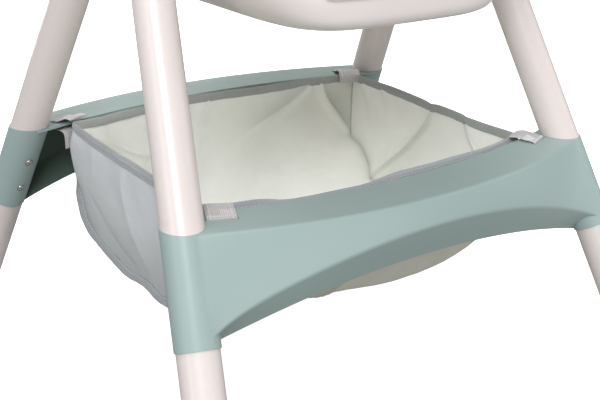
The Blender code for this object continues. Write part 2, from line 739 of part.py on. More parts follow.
def make_runner(side, label):
    """A C-shaped rail under the tray that wraps an armrest's outer edge."""
    low_z, high_z = ARM_Z[0] - 0.0045, TRAY_Z - GAP
    section = [
        (0.182, high_z), (0.2125, high_z), (0.2125, low_z), (0.1920, low_z), (0.1920, low_z + 0.0035),
        (0.2085, low_z + 0.0035), (0.2085, ARM_Z[1] + 0.0030), (0.182, ARM_Z[1] + 0.0030),
    ]
    rings = [[Vector((side * x, y, z)) for x, z in section] for y in (-0.150, -0.040)]
    runner = loft(f"tray_runner_{label}", rings, CREAM)
    xs = sorted((side * 0.205, side * 0.216))
    boolean(runner, block(f"runner_window_{label}", (xs[0], -0.1225, 0.6595), (xs[1], -0.0775, 0.6765)))


def make_button(side, label):
    xs = sorted((side * 0.2098, side * 0.2240))
    block(f"tray_button_{label}", (xs[0], -0.1210, 0.6605), (xs[1], -0.0790, 0.6755), SAGE, 0.002, 2)


# ---------------------------------------------------------------- harness
CUSHION_INSET = SEAT_WALL + CUSHION_GAP + CUSHION_THICK
PAD_Z = SEAT_Z + CUSHION_INSET
BUCKLE_Y = -0.030


def back_pad_y(z):
    return along(TUB_BACK, z) - CUSHION_INSET


def make_buckle():
    low = (-0.021, BUCKLE_Y - 0.019, PAD_Z + 0.0030)
    high = (0.021, BUCKLE_Y + 0.019, PAD_Z + 0.0150)
    body = block("buckle_body", low, high, BUCKLE, 0.003, 2)
    pocket = [(0.0, 0.0085), (0.02, 0.0085)]
    boolean(body, turned("buckle_pocket", (0, BUCKLE_Y, PAD_Z + 0.0090), (0, 0, 1), pocket))
    turned("buckle_button", (0, BUCKLE_Y, PAD_Z + 0.0122), (0, 0, 1),
           [(0, 0.0078), (0.0030, 0.0078), (0.0040, 0.0066)], SAGE, segments=24)


def make_harness():
    width, thick = 0.024, 0.0016
    for side, label in ((-1, "left"), (1, "right")):
        top = back_pad_y(HARNESS_SLOT_Z)
        points = [(side * HARNESS_SLOT_X, top + y, HARNESS_SLOT_Z) for y in (0.0120, -0.0035)]
        rows = [(0.778, 0.033), (0.700, 0.034), (0.640, 0.034), (0.590, 0.032), (0.550, 0.028)]
        points += [(side * x, back_pad_y(z) - 0.0060, z) for z, x in rows]
        points += [(side * 0.024, 0.080, PAD_Z + 0.026), (side * 0.018, 0.045, PAD_Z + 0.014),
                   (side * 0.0140, BUCKLE_Y + 0.0200, PAD_Z + 0.0090)]
        ribbon(f"harness_shoulder_{label}", points, (1, 0, 0), width * 0.8, thick, HARNESS)
        waist = [(side * 0.107, 0.026, PAD_Z + 0.0110), (side * 0.090, 0.012, PAD_Z + 0.0060),
                 (side * 0.060, -0.012, PAD_Z + 0.0060), (side * 0.0285, BUCKLE_Y, PAD_Z + 0.0090)]
        ribbon(f"harness_waist_{label}", waist, (side * 0.42, 0.9, 0), width, thick, HARNESS)
    crotch = [(0, -0.125, PAD_Z + 0.0025), (0, -0.095, PAD_Z + 0.0040), (0, -0.070, PAD_Z + 0.0070),
              (0, BUCKLE_Y - 0.0205, PAD_Z + 0.0090)]
    ribbon("harness_crotch", crotch, (1, 0, 0), width, thick, HARNESS)


# ---------------------------------------------------------------- build
def main():
    clear_scene()
    for end in (-1, 1):
        for side in (-1, 1):
            make_leg(side, end)
            make_boot(side, end)
            for index in range(len(SCREW_DROPS)):
                make_screw(side, end, index)
        make_crossbar(end)
    for side in (-1, 1):
        make_hub(side)
    make_basket()
    make_tub()
    make_armrests()
    make_tray()
    make_buckle()
    make_harness()


main()
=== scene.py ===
"""Looks of a baby high chair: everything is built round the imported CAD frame, in metres, with +Z up.

The chair faces -Y. Places are read from the frame's nodes; the sizes below repeat the CAD's own numbers for
shapes whose fine surface is made again here.
"""
import math

import bmesh
import bpy
import numpy as np
from mathutils import Matrix, Vector, noise
from mathutils.bvhtree import BVHTree
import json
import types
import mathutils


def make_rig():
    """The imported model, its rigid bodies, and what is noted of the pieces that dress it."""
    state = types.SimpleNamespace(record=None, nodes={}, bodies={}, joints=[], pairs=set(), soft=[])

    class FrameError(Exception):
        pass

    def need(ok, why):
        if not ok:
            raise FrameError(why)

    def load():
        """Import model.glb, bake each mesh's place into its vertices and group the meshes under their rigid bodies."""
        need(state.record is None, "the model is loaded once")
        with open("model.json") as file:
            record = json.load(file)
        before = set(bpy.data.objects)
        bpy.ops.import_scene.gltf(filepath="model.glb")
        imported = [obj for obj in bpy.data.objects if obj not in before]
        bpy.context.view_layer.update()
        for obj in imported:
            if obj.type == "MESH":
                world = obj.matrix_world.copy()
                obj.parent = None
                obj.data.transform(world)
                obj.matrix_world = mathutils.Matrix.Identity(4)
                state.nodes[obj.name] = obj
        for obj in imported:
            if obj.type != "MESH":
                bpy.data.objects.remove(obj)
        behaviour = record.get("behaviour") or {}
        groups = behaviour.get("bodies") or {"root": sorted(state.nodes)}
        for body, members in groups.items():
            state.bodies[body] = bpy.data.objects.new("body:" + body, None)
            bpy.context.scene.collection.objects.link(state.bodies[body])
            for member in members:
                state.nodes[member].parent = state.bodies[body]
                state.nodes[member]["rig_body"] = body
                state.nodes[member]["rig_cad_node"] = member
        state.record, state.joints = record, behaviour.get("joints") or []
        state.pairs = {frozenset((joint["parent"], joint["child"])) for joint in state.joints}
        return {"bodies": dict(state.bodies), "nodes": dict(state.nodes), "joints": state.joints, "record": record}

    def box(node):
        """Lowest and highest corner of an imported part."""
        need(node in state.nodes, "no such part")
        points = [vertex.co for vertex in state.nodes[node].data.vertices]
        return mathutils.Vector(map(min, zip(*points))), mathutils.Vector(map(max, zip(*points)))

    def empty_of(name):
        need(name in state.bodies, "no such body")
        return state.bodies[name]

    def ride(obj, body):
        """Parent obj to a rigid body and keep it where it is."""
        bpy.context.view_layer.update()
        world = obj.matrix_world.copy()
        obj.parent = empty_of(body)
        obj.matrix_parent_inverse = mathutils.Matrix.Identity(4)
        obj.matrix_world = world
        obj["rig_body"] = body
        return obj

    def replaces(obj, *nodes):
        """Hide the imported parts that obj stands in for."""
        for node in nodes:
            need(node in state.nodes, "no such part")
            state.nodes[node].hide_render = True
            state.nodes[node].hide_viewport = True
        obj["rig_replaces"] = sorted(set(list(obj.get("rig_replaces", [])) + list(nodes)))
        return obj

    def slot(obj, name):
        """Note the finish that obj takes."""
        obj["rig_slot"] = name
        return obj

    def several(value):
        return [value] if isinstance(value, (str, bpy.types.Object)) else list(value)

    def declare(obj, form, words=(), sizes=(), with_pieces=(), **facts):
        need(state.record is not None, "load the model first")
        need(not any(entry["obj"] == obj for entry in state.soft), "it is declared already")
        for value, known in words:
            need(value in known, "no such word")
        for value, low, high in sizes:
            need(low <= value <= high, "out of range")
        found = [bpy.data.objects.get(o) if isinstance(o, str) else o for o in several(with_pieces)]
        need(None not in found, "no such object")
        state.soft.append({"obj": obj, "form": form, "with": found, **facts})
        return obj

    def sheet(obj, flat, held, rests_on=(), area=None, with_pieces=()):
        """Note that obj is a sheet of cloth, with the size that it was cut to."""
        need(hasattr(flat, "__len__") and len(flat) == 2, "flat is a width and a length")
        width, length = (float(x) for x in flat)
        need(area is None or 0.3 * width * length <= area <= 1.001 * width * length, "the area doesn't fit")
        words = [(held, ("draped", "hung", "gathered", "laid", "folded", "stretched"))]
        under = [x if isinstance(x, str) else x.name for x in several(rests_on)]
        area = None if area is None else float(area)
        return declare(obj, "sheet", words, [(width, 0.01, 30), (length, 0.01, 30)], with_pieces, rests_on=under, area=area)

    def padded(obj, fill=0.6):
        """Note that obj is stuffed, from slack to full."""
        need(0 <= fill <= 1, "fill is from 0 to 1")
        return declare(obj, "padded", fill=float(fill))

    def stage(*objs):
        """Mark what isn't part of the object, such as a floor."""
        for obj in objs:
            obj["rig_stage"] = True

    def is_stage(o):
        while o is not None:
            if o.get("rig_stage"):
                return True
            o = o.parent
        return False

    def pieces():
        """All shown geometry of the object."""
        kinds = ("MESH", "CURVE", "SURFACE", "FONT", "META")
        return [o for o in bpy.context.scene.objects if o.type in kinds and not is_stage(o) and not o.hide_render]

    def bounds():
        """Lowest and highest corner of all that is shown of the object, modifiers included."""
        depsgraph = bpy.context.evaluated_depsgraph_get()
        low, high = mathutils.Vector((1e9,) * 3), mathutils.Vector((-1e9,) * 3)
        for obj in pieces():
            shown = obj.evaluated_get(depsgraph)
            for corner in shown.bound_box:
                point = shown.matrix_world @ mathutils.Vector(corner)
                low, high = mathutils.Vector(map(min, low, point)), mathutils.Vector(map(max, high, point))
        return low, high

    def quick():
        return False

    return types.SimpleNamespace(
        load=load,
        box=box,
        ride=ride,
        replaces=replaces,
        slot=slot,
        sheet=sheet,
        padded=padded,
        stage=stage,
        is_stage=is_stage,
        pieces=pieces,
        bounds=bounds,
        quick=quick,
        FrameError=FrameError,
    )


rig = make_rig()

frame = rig.load()
cad_low, cad_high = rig.bounds()

SIDES = ((-1, "left"), (1, "right"))
ENDS = ((-1, "front"), (1, "rear"))
SQUARE = ((-1, -1), (1, -1), (1, 1), (-1, 1))
CORNERS = tuple((side, end, f"{far}_{near}") for end, far in ENDS for side, near in SIDES)


# ---------------------------------------------------------------- nodes for materials
class Shader:
    """A material under construction, with short ways to add and link its nodes."""

    def __init__(self, name, roughness=0.5, metallic=0.0, coat=0.0, sheen=0.0):
        self.material = bpy.data.materials.new(name)
        self.material.use_nodes = True
        self.tree = self.material.node_tree
        self.surface = self.tree.nodes["Principled BSDF"]
        self.surface.inputs["Roughness"].default_value = roughness
        self.surface.inputs["Metallic"].default_value = metallic
        self.surface.inputs["Coat Weight"].default_value = coat
        self.surface.inputs["Coat Roughness"].default_value = 0.12
        self.surface.inputs["Sheen Weight"].default_value = sheen
        self.surface.inputs["Sheen Roughness"].default_value = 0.45

    def add(self, kind, **settings):
        node = self.tree.nodes.new(kind)
        for key, value in settings.items():
            if key in node.inputs:
                node.inputs[key].default_value = value
            else:
                setattr(node, key, value)
        return node

    def link(self, source, target):
        self.tree.links.new(source, target)

    def place(self, kind="Object"):
        """A texture coordinate: Object is the row frame in metres, UV runs along strips in metres."""
        return self.add("ShaderNodeTexCoord").outputs[kind]

    def stretched(self, source, scale):
        node = self.add("ShaderNodeMapping")
        node.inputs["Scale"].default_value = scale
        self.link(source, node.inputs["Vector"])
        return node.outputs["Vector"]

    def noise(self, source, scale, detail=3.0, rough=0.55):
        node = self.add("ShaderNodeTexNoise")
        node.inputs["Scale"].default_value = scale
        node.inputs["Detail"].default_value = detail
        node.inputs["Roughness"].default_value = rough
        self.link(source, node.inputs["Vector"])
        return node.outputs["Fac"]

    def wave(self, source, scale, direction="X", distortion=0.0):
        node = self.add("ShaderNodeTexWave", bands_direction=direction)
        node.inputs["Scale"].default_value = scale
        node.inputs["Distortion"].default_value = distortion
        node.inputs["Detail"].default_value = 1.0
        self.link(source, node.inputs["Vector"])
        return node.outputs["Fac"]

    def ramp(self, source, stops, interpolation="LINEAR"):
        node = self.add("ShaderNodeValToRGB")
        ramp = node.color_ramp
        ramp.interpolation = interpolation
        while len(ramp.elements) < len(stops):
            ramp.elements.new(0.5)
        for element, (position, colour) in zip(ramp.elements, stops):
            element.position = position
            element.color = (*colour, 1.0) if len(colour) == 3 else colour
        self.link(source, node.inputs["Fac"])
        return node.outputs["Color"]

    def mottled(self, source, colour, dark, light):
        """A colour that shifts with a noise from a darker to a lighter shade of it."""
        return self.ramp(source, ((0.3, shade(colour, dark)), (0.7, shade(colour, light))))

    def sum(self, first, second, operation="ADD", second_value=None):
        node = self.add("ShaderNodeMath", operation=operation)
        self.link(first, node.inputs[0])
        if second is None:
            node.inputs[1].default_value = second_value
        else:
            self.link(second, node.inputs[1])
        return node.outputs["Value"]

    def mixed(self, factor, first, second, blend="MIX"):
        """Two colours mixed by a factor. Each of the three may be an output or a plain value."""
        node = self.add("ShaderNodeMix", data_type="RGBA", blend_type=blend)
        sockets = [node.inputs["Factor"]] + [i for i in node.inputs if i.type == "RGBA"]
        for value, socket in zip((factor, first, second), sockets):
            if isinstance(value, bpy.types.NodeSocket):
                self.link(value, socket)
            else:
                socket.default_value = value if isinstance(value, float) else (*value, 1.0)
        return [o for o in node.outputs if o.type == "RGBA"][0]

    def colour(self, output):
        self.link(output, self.surface.inputs["Base Color"])

    def roughness(self, source, low, high):
        node = self.add("ShaderNodeMapRange")
        node.inputs["To Min"].default_value = low
        node.inputs["To Max"].default_value = high
        self.link(source, node.inputs["Value"])
        self.link(node.outputs["Result"], self.surface.inputs["Roughness"])

    def bump(self, height, distance, strength=1.0):
        """Adds one layer of relief. distance is the height of the relief in metres."""
        node = self.add("ShaderNodeBump")
        node.inputs["Distance"].default_value = distance
        node.inputs["Strength"].default_value = strength
        self.link(height, node.inputs["Height"])
        before = self.surface.inputs["Normal"].links
        if before:
            self.link(before[0].from_socket, node.inputs["Normal"])
        self.link(node.outputs["Normal"], self.surface.inputs["Normal"])


def shade(colour, factor):
    """A colour made darker or lighter by a factor."""
    return tuple(c * factor for c in colour)


def moulded_plastic(name, colour, roughness, coat=0.0, grain=0.00003):
    """Injection-moulded plastic: faint flow mottling, a fine spark-eroded grain and uneven gloss."""
    s = Shader(name, roughness, coat=coat)
    place = s.place()
    flow = s.noise(s.stretched(place, (1.0, 1.0, 2.5)), 9.0, 2.0)
    s.colour(s.mottled(flow, colour, 0.985, 1.012))
    fine = s.noise(place, 900.0, 2.0)
    s.roughness(s.noise(place, 38.0, 4.0), roughness - 0.05, roughness + 0.07)
    s.bump(fine, grain)
    s.bump(s.noise(place, 30.0, 1.0), 0.00006)
    return s.material


def powder_coat(name, colour):
    """Gloss powder coating: a slight orange peel, with specks of dust under a clear top."""
    s = Shader(name, 0.3, coat=0.18)
    place = s.place()
    s.colour(s.mottled(s.noise(place, 160.0, 3.0), colour, 0.985, 1.012))
    s.roughness(s.noise(place, 260.0, 3.0), 0.31, 0.38)
    s.bump(s.noise(place, 420.0, 1.5), 0.00002)
    return s.material


def rubber(name, colour):
    """Moulded rubber: matt, with paler dust in patches and a fine grain."""
    s = Shader(name, 0.75)
    place = s.place()
    dust = s.noise(place, 45.0, 5.0)
    s.colour(s.ramp(dust, ((0.35, colour), (0.75, shade(colour, 1.5)))))
    s.roughness(dust, 0.62, 0.88)
    s.bump(s.noise(place, 700.0, 2.0), 0.00006)
    return s.material


def plated_steel(name):
    """Zinc-plated steel with brushed, uneven gloss."""
    s = Shader(name, 0.22, metallic=1.0)
    place = s.place()
    s.colour(s.ramp(s.noise(place, 300.0, 3.0), ((0.3, (0.55, 0.54, 0.52)), (0.7, (0.78, 0.78, 0.77)))))
    s.roughness(s.noise(place, 900.0, 2.0), 0.14, 0.34)
    s.bump(s.noise(place, 1500.0, 1.0), 0.00001)
    return s.material


def weave_relief(s, pitch, place="UV"):
    """A plain weave: two sets of threads at right angles, pitch metres apart."""
    at = s.place(place)
    scale = math.tau / pitch / 20.0
    warp = s.wave(at, scale, "X")
    weft = s.wave(at, scale, "Y")
    return s.sum(warp, weft, "MULTIPLY")


def basket_cloth(name, colour, mottle=0.05):
    """Coated polyester: blotchy, with a fine weave, stray fibres and soft puckers, and painted shade in its creases
    and seams.
    """
    s = Shader(name, 0.72, sheen=0.15)
    place = s.place()
    blotch = s.noise(place, 26.0, 5.0, 0.6)
    fibre = s.noise(s.stretched(s.place("UV"), (1.0, 6.0, 1.0)), 240.0, 3.0)
    tone = s.mottled(blotch, colour, 1 - mottle, 1 + mottle * 0.8)
    # Painted shade: the crease attribute mixes the cloth towards a dark grey beside folds, along seams and under the
    # rim.
    painted_crease_shade = s.add("ShaderNodeAttribute", attribute_name="crease_tone", attribute_type="GEOMETRY")
    painted_crease_shade = painted_crease_shade.outputs["Fac"]
    grey = tuple(c * k for c, k in zip(colour, (0.30, 0.34, 0.32)))
    s.colour(s.mixed(painted_crease_shade, tone, grey))
    s.roughness(blotch, 0.62, 0.82)
    s.bump(weave_relief(s, 0.0011), 0.00009, 0.8)
    s.bump(fibre, 0.00008, 0.6)
    s.bump(s.noise(place, 48.0, 4.0, 0.6), 0.0012, 0.5)
    return s.material


def stitch_mask(s, at, rows, length=0.0034, gap=0.0014, thick=0.0007):
    """1 on the stitches sewn along a strip, in rows at their distances across it, and 0 elsewhere."""
    parts = s.add("ShaderNodeSeparateXYZ")
    s.link(at, parts.inputs["Vector"])
    pitch = length + gap
    phase = s.sum(s.sum(parts.outputs["X"], None, "DIVIDE", pitch), None, "FRACT", 0.0)
    dash = s.sum(phase, None, "LESS_THAN", length / pitch)
    total = None
    for row in rows:
        away = s.sum(s.sum(parts.outputs["Y"], None, "SUBTRACT", row), None, "ABSOLUTE", 0.0)
        line = s.sum(away, None, "LESS_THAN", thick / 2)
        total = line if total is None else s.sum(total, line, "MAXIMUM")
    return s.sum(total, dash, "MULTIPLY")


def tape_cloth(name, colour, pitch=0.0012, sheen=0.2, ribs=0.00022, stitches=(), thread=(0.5, 0.5, 0.5)):
    """Woven tape: ribs across it, thread by thread, with a paler fuzz and lines of stitches."""
    s = Shader(name, 0.7, sheen=sheen)
    at = s.place("UV")
    rib = s.wave(at, math.tau / pitch / 20.0, "X", 0.6)
    across = s.wave(at, math.tau / (pitch * 0.8) / 20.0, "Y", 0.4)
    height = s.sum(rib, across, "MULTIPLY")
    fuzz = s.noise(s.place(), 400.0, 3.0)
    tone = s.ramp(height, ((0.1, shade(colour, 0.8)), (0.8, shade(colour, 1.12))))
    light = s.ramp(fuzz, ((0.3, (0.92, 0.92, 0.92)), (0.7, (1.05, 1.05, 1.05))))
    woven = s.mixed(1.0, tone, light, "MULTIPLY")
    s.bump(height, ribs)
    if stitches:
        mask = stitch_mask(s, at, stitches)
        woven = s.mixed(mask, woven, thread)
        s.bump(mask, 0.0004)
    s.colour(woven)
    return s.material


def synthetic_leather(name, colour):
    """Padded synthetic leather: pebbled grain, with the gloss of the hills and matt valleys."""
    s = Shader(name, 0.5, coat=0.06)
    place = s.place()
    cells = s.add("ShaderNodeTexVoronoi", feature="F1")
    cells.inputs["Scale"].default_value = 420.0
    s.link(place, cells.inputs["Vector"])
    grain = cells.outputs["Distance"]
    s.colour(s.mottled(s.noise(place, 18.0, 4.0), colour, 0.9, 1.1))
    s.roughness(grain, 0.42, 0.62)
    s.bump(grain, 0.00022, 0.7)
    s.bump(s.noise(place, 70.0, 4.0), 0.0006, 0.35)
    return s.material


def floor_paint(name):
    """White studio paper, lit from behind so that only the faintest shadow shows on it."""
    s = Shader(name, 0.8)
    place = s.place()
    s.colour(s.ramp(s.noise(place, 3.0, 2.0), ((0.3, (0.93, 0.93, 0.93)), (0.7, (0.96, 0.96, 0.96)))))
    s.surface.inputs["Emission Color"].default_value = (1.0, 1.0, 1.0, 1.0)
    s.surface.inputs["Emission Strength"].default_value = 0.80
    return s.material


MATERIALS = {
    "tube": powder_coat("cream_powder_coat", (0.745, 0.672, 0.638)),
    "bar": moulded_plastic("sage_plastic", (0.335, 0.432, 0.412), 0.44, coat=0.04),
    # A much darker copy of the sage plastic for the channel's inner faces: painted shade inside the channel.
    "bar_inside": moulded_plastic("sage_plastic_unfinished", (0.060, 0.095, 0.075), 0.6),
    "hub": moulded_plastic("sage_plastic_parts", (0.335, 0.432, 0.412), 0.44),
    "seat": moulded_plastic("cream_plastic", (0.865, 0.790, 0.752), 0.38, coat=0.10),
    "rubber": rubber("grey_rubber", (0.19, 0.21, 0.205)),
    "steel": plated_steel("plated_steel"),
    "basket": basket_cloth("basket_cloth_outside", (0.625, 0.645, 0.65)),
    "basket_inside": basket_cloth("basket_cloth_inside", (0.88, 0.885, 0.825), 0.035),
    "basket_under": basket_cloth("basket_cloth_under", (0.70, 0.70, 0.60)),
    "tape": tape_cloth("binding_tape", (0.44, 0.465, 0.48), stitches=(0.0030, 0.0085),
                       thread=(0.62, 0.64, 0.65)),
    # A darker copy of the binding tape and its thread: painted shade on the binding's top edge and inner side.
    "tape_inside": tape_cloth("binding_tape_inside", (0.39, 0.41, 0.39), stitches=(0.0030, 0.0085),
                              thread=(0.52, 0.54, 0.53)),
    "seam_tape": tape_cloth("seam_tape", (0.34, 0.36, 0.37), stitches=(0.0025,), thread=(0.55, 0.57, 0.58)),
    "ribbon": tape_cloth("satin_ribbon", (0.60, 0.575, 0.565), 0.0022, 0.35, 0.00030, (0.004, 0.026),
                         (0.86, 0.85, 0.84)),
    "fringe": tape_cloth("ribbon_cut_edge", (0.80, 0.79, 0.785), 0.0016, 0.3, 0.0002),
    "harness": tape_cloth("harness_webbing", (0.10, 0.10, 0.10), 0.0018, 0.15, 0.0003, (0.003, 0.021),
                          (0.22, 0.22, 0.22)),
    "leather": synthetic_leather("taupe_leather", (0.165, 0.145, 0.125)),
    "seam": tape_cloth("seam_piping", (0.42, 0.38, 0.33), 0.0005, 0.1, 0.00006),
    "liner": moulded_plastic("sage_liner", (0.36, 0.45, 0.42), 0.3, coat=0.2),
    "buckle": moulded_plastic("charcoal_plastic", (0.045, 0.048, 0.048), 0.36),
}


# ---------------------------------------------------------------- mesh helpers
def new_object(name, data):
    """An object in the scene for a mesh, a lamp or a camera."""
    obj = bpy.data.objects.new(name, data)
    bpy.context.scene.collection.objects.link(obj)
    return obj


def mesh_object(name, vertices, faces, material, smooth_deg=35.0, uvs=None):
    """A smooth-shaded mesh in the scene, with edges sharp above smooth_deg. uvs hold a pair per vertex."""
    mesh = bpy.data.meshes.new(name)
    mesh.from_pydata([tuple(v) for v in vertices], [], faces)
    if uvs is not None:
        layer = mesh.uv_layers.new(name="UVMap")
        flat = np.array([uvs[v] for v in (loop.vertex_index for loop in mesh.loops)], float)
        layer.data.foreach_set("uv", flat.ravel())
    work = bmesh.new()
    work.from_mesh(mesh)
    bmesh.ops.recalc_face_normals(work, faces=work.faces)
    work.to_mesh(mesh)
    work.free()
    mesh.shade_smooth()
    mesh.set_sharp_from_angle(angle=math.radians(smooth_deg))
    mesh.materials.append(MATERIALS[material])
    return new_object(name, mesh)


def loft(name, rings, material, ends="cap", smooth_deg=35.0):
    """Joins closed rings of equal length. ends is cap, or join for a closed loop of rings."""
    count = len(rings[0])
    vertices = [p for ring in rings for p in ring]
    faces = []
    spans = len(rings) if ends == "join" else len(rings) - 1
    for k in range(spans):
        a, b = k * count, ((k + 1) % len(rings)) * count
        for i in range(count):
            j = (i + 1) % count
            faces.append((a + i, a + j, b + j, b + i))
    if ends == "cap":
        faces.append(tuple(range(count)))
        faces.append(tuple(range((len(rings) - 1) * count, len(rings) * count)))
    lengths = [0.0]
    for before, after in zip(rings, rings[1:]):
        lengths.append(lengths[-1] + (Vector(after[0]) - Vector(before[0])).length)
    uvs = []
    for ring, far in zip(rings, lengths):
        across = 0.0
        for i, p in enumerate(ring):
            uvs.append((far, across))
            across += (Vector(ring[(i + 1) % count]) - Vector(p)).length
    return mesh_object(name, vertices, faces, material, smooth_deg, uvs)


def across_axis(axis):
    """Two ways at right angles to an axis and to each other."""
    side = axis.cross(Vector((0, 0, 1)) if abs(axis.z) < 0.9 else Vector((1, 0, 0))).normalized()
    return side, axis.cross(side).normalized()


def turned(name, start, axis, profile, material, segments=48, smooth_deg=35.0):
    """A solid of revolution from (distance along the axis, radius) rows."""
    axis = Vector(axis).normalized()
    side, up = across_axis(axis)
    rings = []
    for distance, radius in profile:
        middle = Vector(start) + axis * distance
        turns = [math.tau * i / segments for i in range(segments)]
        rings.append([middle + (side * math.cos(t) + up * math.sin(t)) * radius for t in turns])
    return loft(name, rings, material, smooth_deg=smooth_deg)


def apply_modifiers(obj):
    """Bakes an object's modifiers into its mesh."""
    shape = obj.evaluated_get(bpy.context.evaluated_depsgraph_get())
    baked = bpy.data.meshes.new_from_object(shape)
    obj.modifiers.clear()
    old = obj.data
    obj.data = baked
    bpy.data.meshes.remove(old)
    return obj


def combine(target, tools, operation="DIFFERENCE"):
    """Cuts the tools out of the target, or joins them to it, and removes them."""
    for tool in tools:
        modifier = target.modifiers.new(tool.name, "BOOLEAN")
        modifier.operation = operation
        modifier.object = tool
        modifier.solver = "EXACT"
    apply_modifiers(target)
    for tool in tools:
        bpy.data.objects.remove(tool)
    return target


def merged(name, pieces):
    """Several objects as one."""
    work = bmesh.new()
    for piece in pieces:
        work.from_mesh(piece.data)
    mesh = bpy.data.meshes.new(name)
    work.to_mesh(mesh)
    work.free()
    mesh.materials.append(pieces[0].data.materials[0])
    for piece in pieces:
        bpy.data.objects.remove(piece)
    return new_object(name, mesh)


def round_edges(obj, width, segments=2, angle_deg=40.0):
    """Adds a bevel to the edges sharper than angle_deg."""
    modifier = obj.modifiers.new("rounding", "BEVEL")
    modifier.width = width
    modifier.segments = segments
    modifier.limit_method = "ANGLE"
    modifier.angle_limit = math.radians(angle_deg)
    modifier.harden_normals = False
    return obj


def resmooth(obj, angle_deg=35.0):
    """Shades an object smooth again after its mesh has changed."""
    obj.data.shade_smooth()
    obj.data.set_sharp_from_angle(angle=math.radians(angle_deg))
    return obj


def carve(target, cuts, smooth_deg, width, angle_deg, joined=()):
    """Joins pieces to the target, cuts the tools out of it and rounds its edges."""
    if joined:
        combine(target, joined, "UNION")
    combine(target, cuts)
    resmooth(target, smooth_deg)
    round_edges(target, width, 2, angle_deg)


def stand_for(obj, body, *nodes, slot=None):
    """Puts a piece on its body in place of CAD nodes."""
    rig.ride(obj, body)
    if nodes:
        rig.replaces(obj, *nodes)
    if slot:
        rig.slot(obj, slot)
    return obj


def smoothstep(low, high, value):
    """A soft step from 0 at low to 1 at high; low may be the larger of the two."""
    t = min(1.0, max(0.0, (value - low) / (high - low)))
    return t * t * (3 - 2 * t)


def wobble(point, scale, seed=0.0):
    """Smooth noise from -1 to 1 at a point, the same each run."""
    return noise.noise(Vector(point) * scale + Vector((seed, seed * 1.7, -seed)))


def squared(value, power):
    """A sine or cosine bent towards a square's corner, with its sign kept."""
    return math.copysign(abs(value) ** power, value)


def squared_ring(middle, half, inset, power, count):
    """Points (x, y) of a rounded rectangle round middle, of half its size less the inset."""
    turns = [math.tau * (k + 0.5) / count for k in range(count)]
    return [(middle[0] + squared(math.cos(t), power) * (half[0] - inset),
             middle[1] + squared(math.sin(t), power) * (half[1] - inset)) for t in turns]


def slab(name, corners, ends, material, upright=True):
    """A prism as a cutting tool: (x, y) corners between two heights, or (x, z) corners between two y."""
    rings = [[Vector((a, b, end) if upright else (a, end, b)) for a, b in corners] for end in ends]
    return loft(name, rings, material)


def drill(name, start, axis, radius, reach, material, segments=32):
    """A round cutting tool along an axis. reach holds its two ends' distances from start."""
    return turned(name, start, axis, [(far, radius) for far in reach], material, segments)


def measure_tube(node):
    """The two ends of a straight tube's axis, lower end first, and its radius, read from its CAD node."""
    places = np.array([v.co for v in frame["nodes"][node].data.vertices], float)
    points = np.unique(places.round(6), axis=0)
    middle = (points.min(0) + points.max(0)) / 2
    axis = np.linalg.svd(points - points.mean(0))[2][0]
    axis *= np.sign(axis[2])
    along = (points - middle) @ axis
    radial = np.linalg.norm(points - middle - np.outer(along, axis), axis=1)
    return Vector(middle + axis * along.min()), Vector(middle + axis * along.max()), float(radial.max())


# ---------------------------------------------------------------- camera, light and floor
def make_camera():
    """The photographer stands in front of the chair's left leg and looks down on the basket."""
    camera = bpy.data.cameras.new("camera")
    camera.sensor_width = 36.0
    camera.lens = 63.31
    camera.shift_y = -0.01602
    camera.clip_end = 60.0
    obj = new_object("camera", camera)
    yaw, pitch, roll = (math.radians(a) for a in (35.959, 21.160, 1.084))
    ahead = Vector((math.sin(yaw) * math.cos(pitch), math.cos(yaw) * math.cos(pitch), -math.sin(pitch)))
    level = Vector((math.cos(yaw), -math.sin(yaw), 0))
    up = level.cross(ahead)
    right = level * math.cos(roll) + up * math.sin(roll)
    top = up * math.cos(roll) - level * math.sin(roll)
    place = Vector((-0.7044, -0.9838, 0.6801))
    columns = Matrix((right, top, -ahead)).transposed()
    obj.matrix_world = Matrix.Translation(place) @ columns.to_4x4()
    bpy.context.scene.camera = obj


def area_light(name, place, target, size, power, colour=(1, 1, 1)):
    """A rectangular lamp that looks at a target. size is its width and height."""
    light = bpy.data.lights.new(name, "AREA")
    light.shape = "RECTANGLE"
    light.size, light.size_y = size
    light.energy = power
    light.color = colour
    obj = new_object(name, light)
    obj.location = place
    obj.rotation_euler = (Vector(target) - Vector(place)).to_track_quat("-Z", "Y").to_euler()


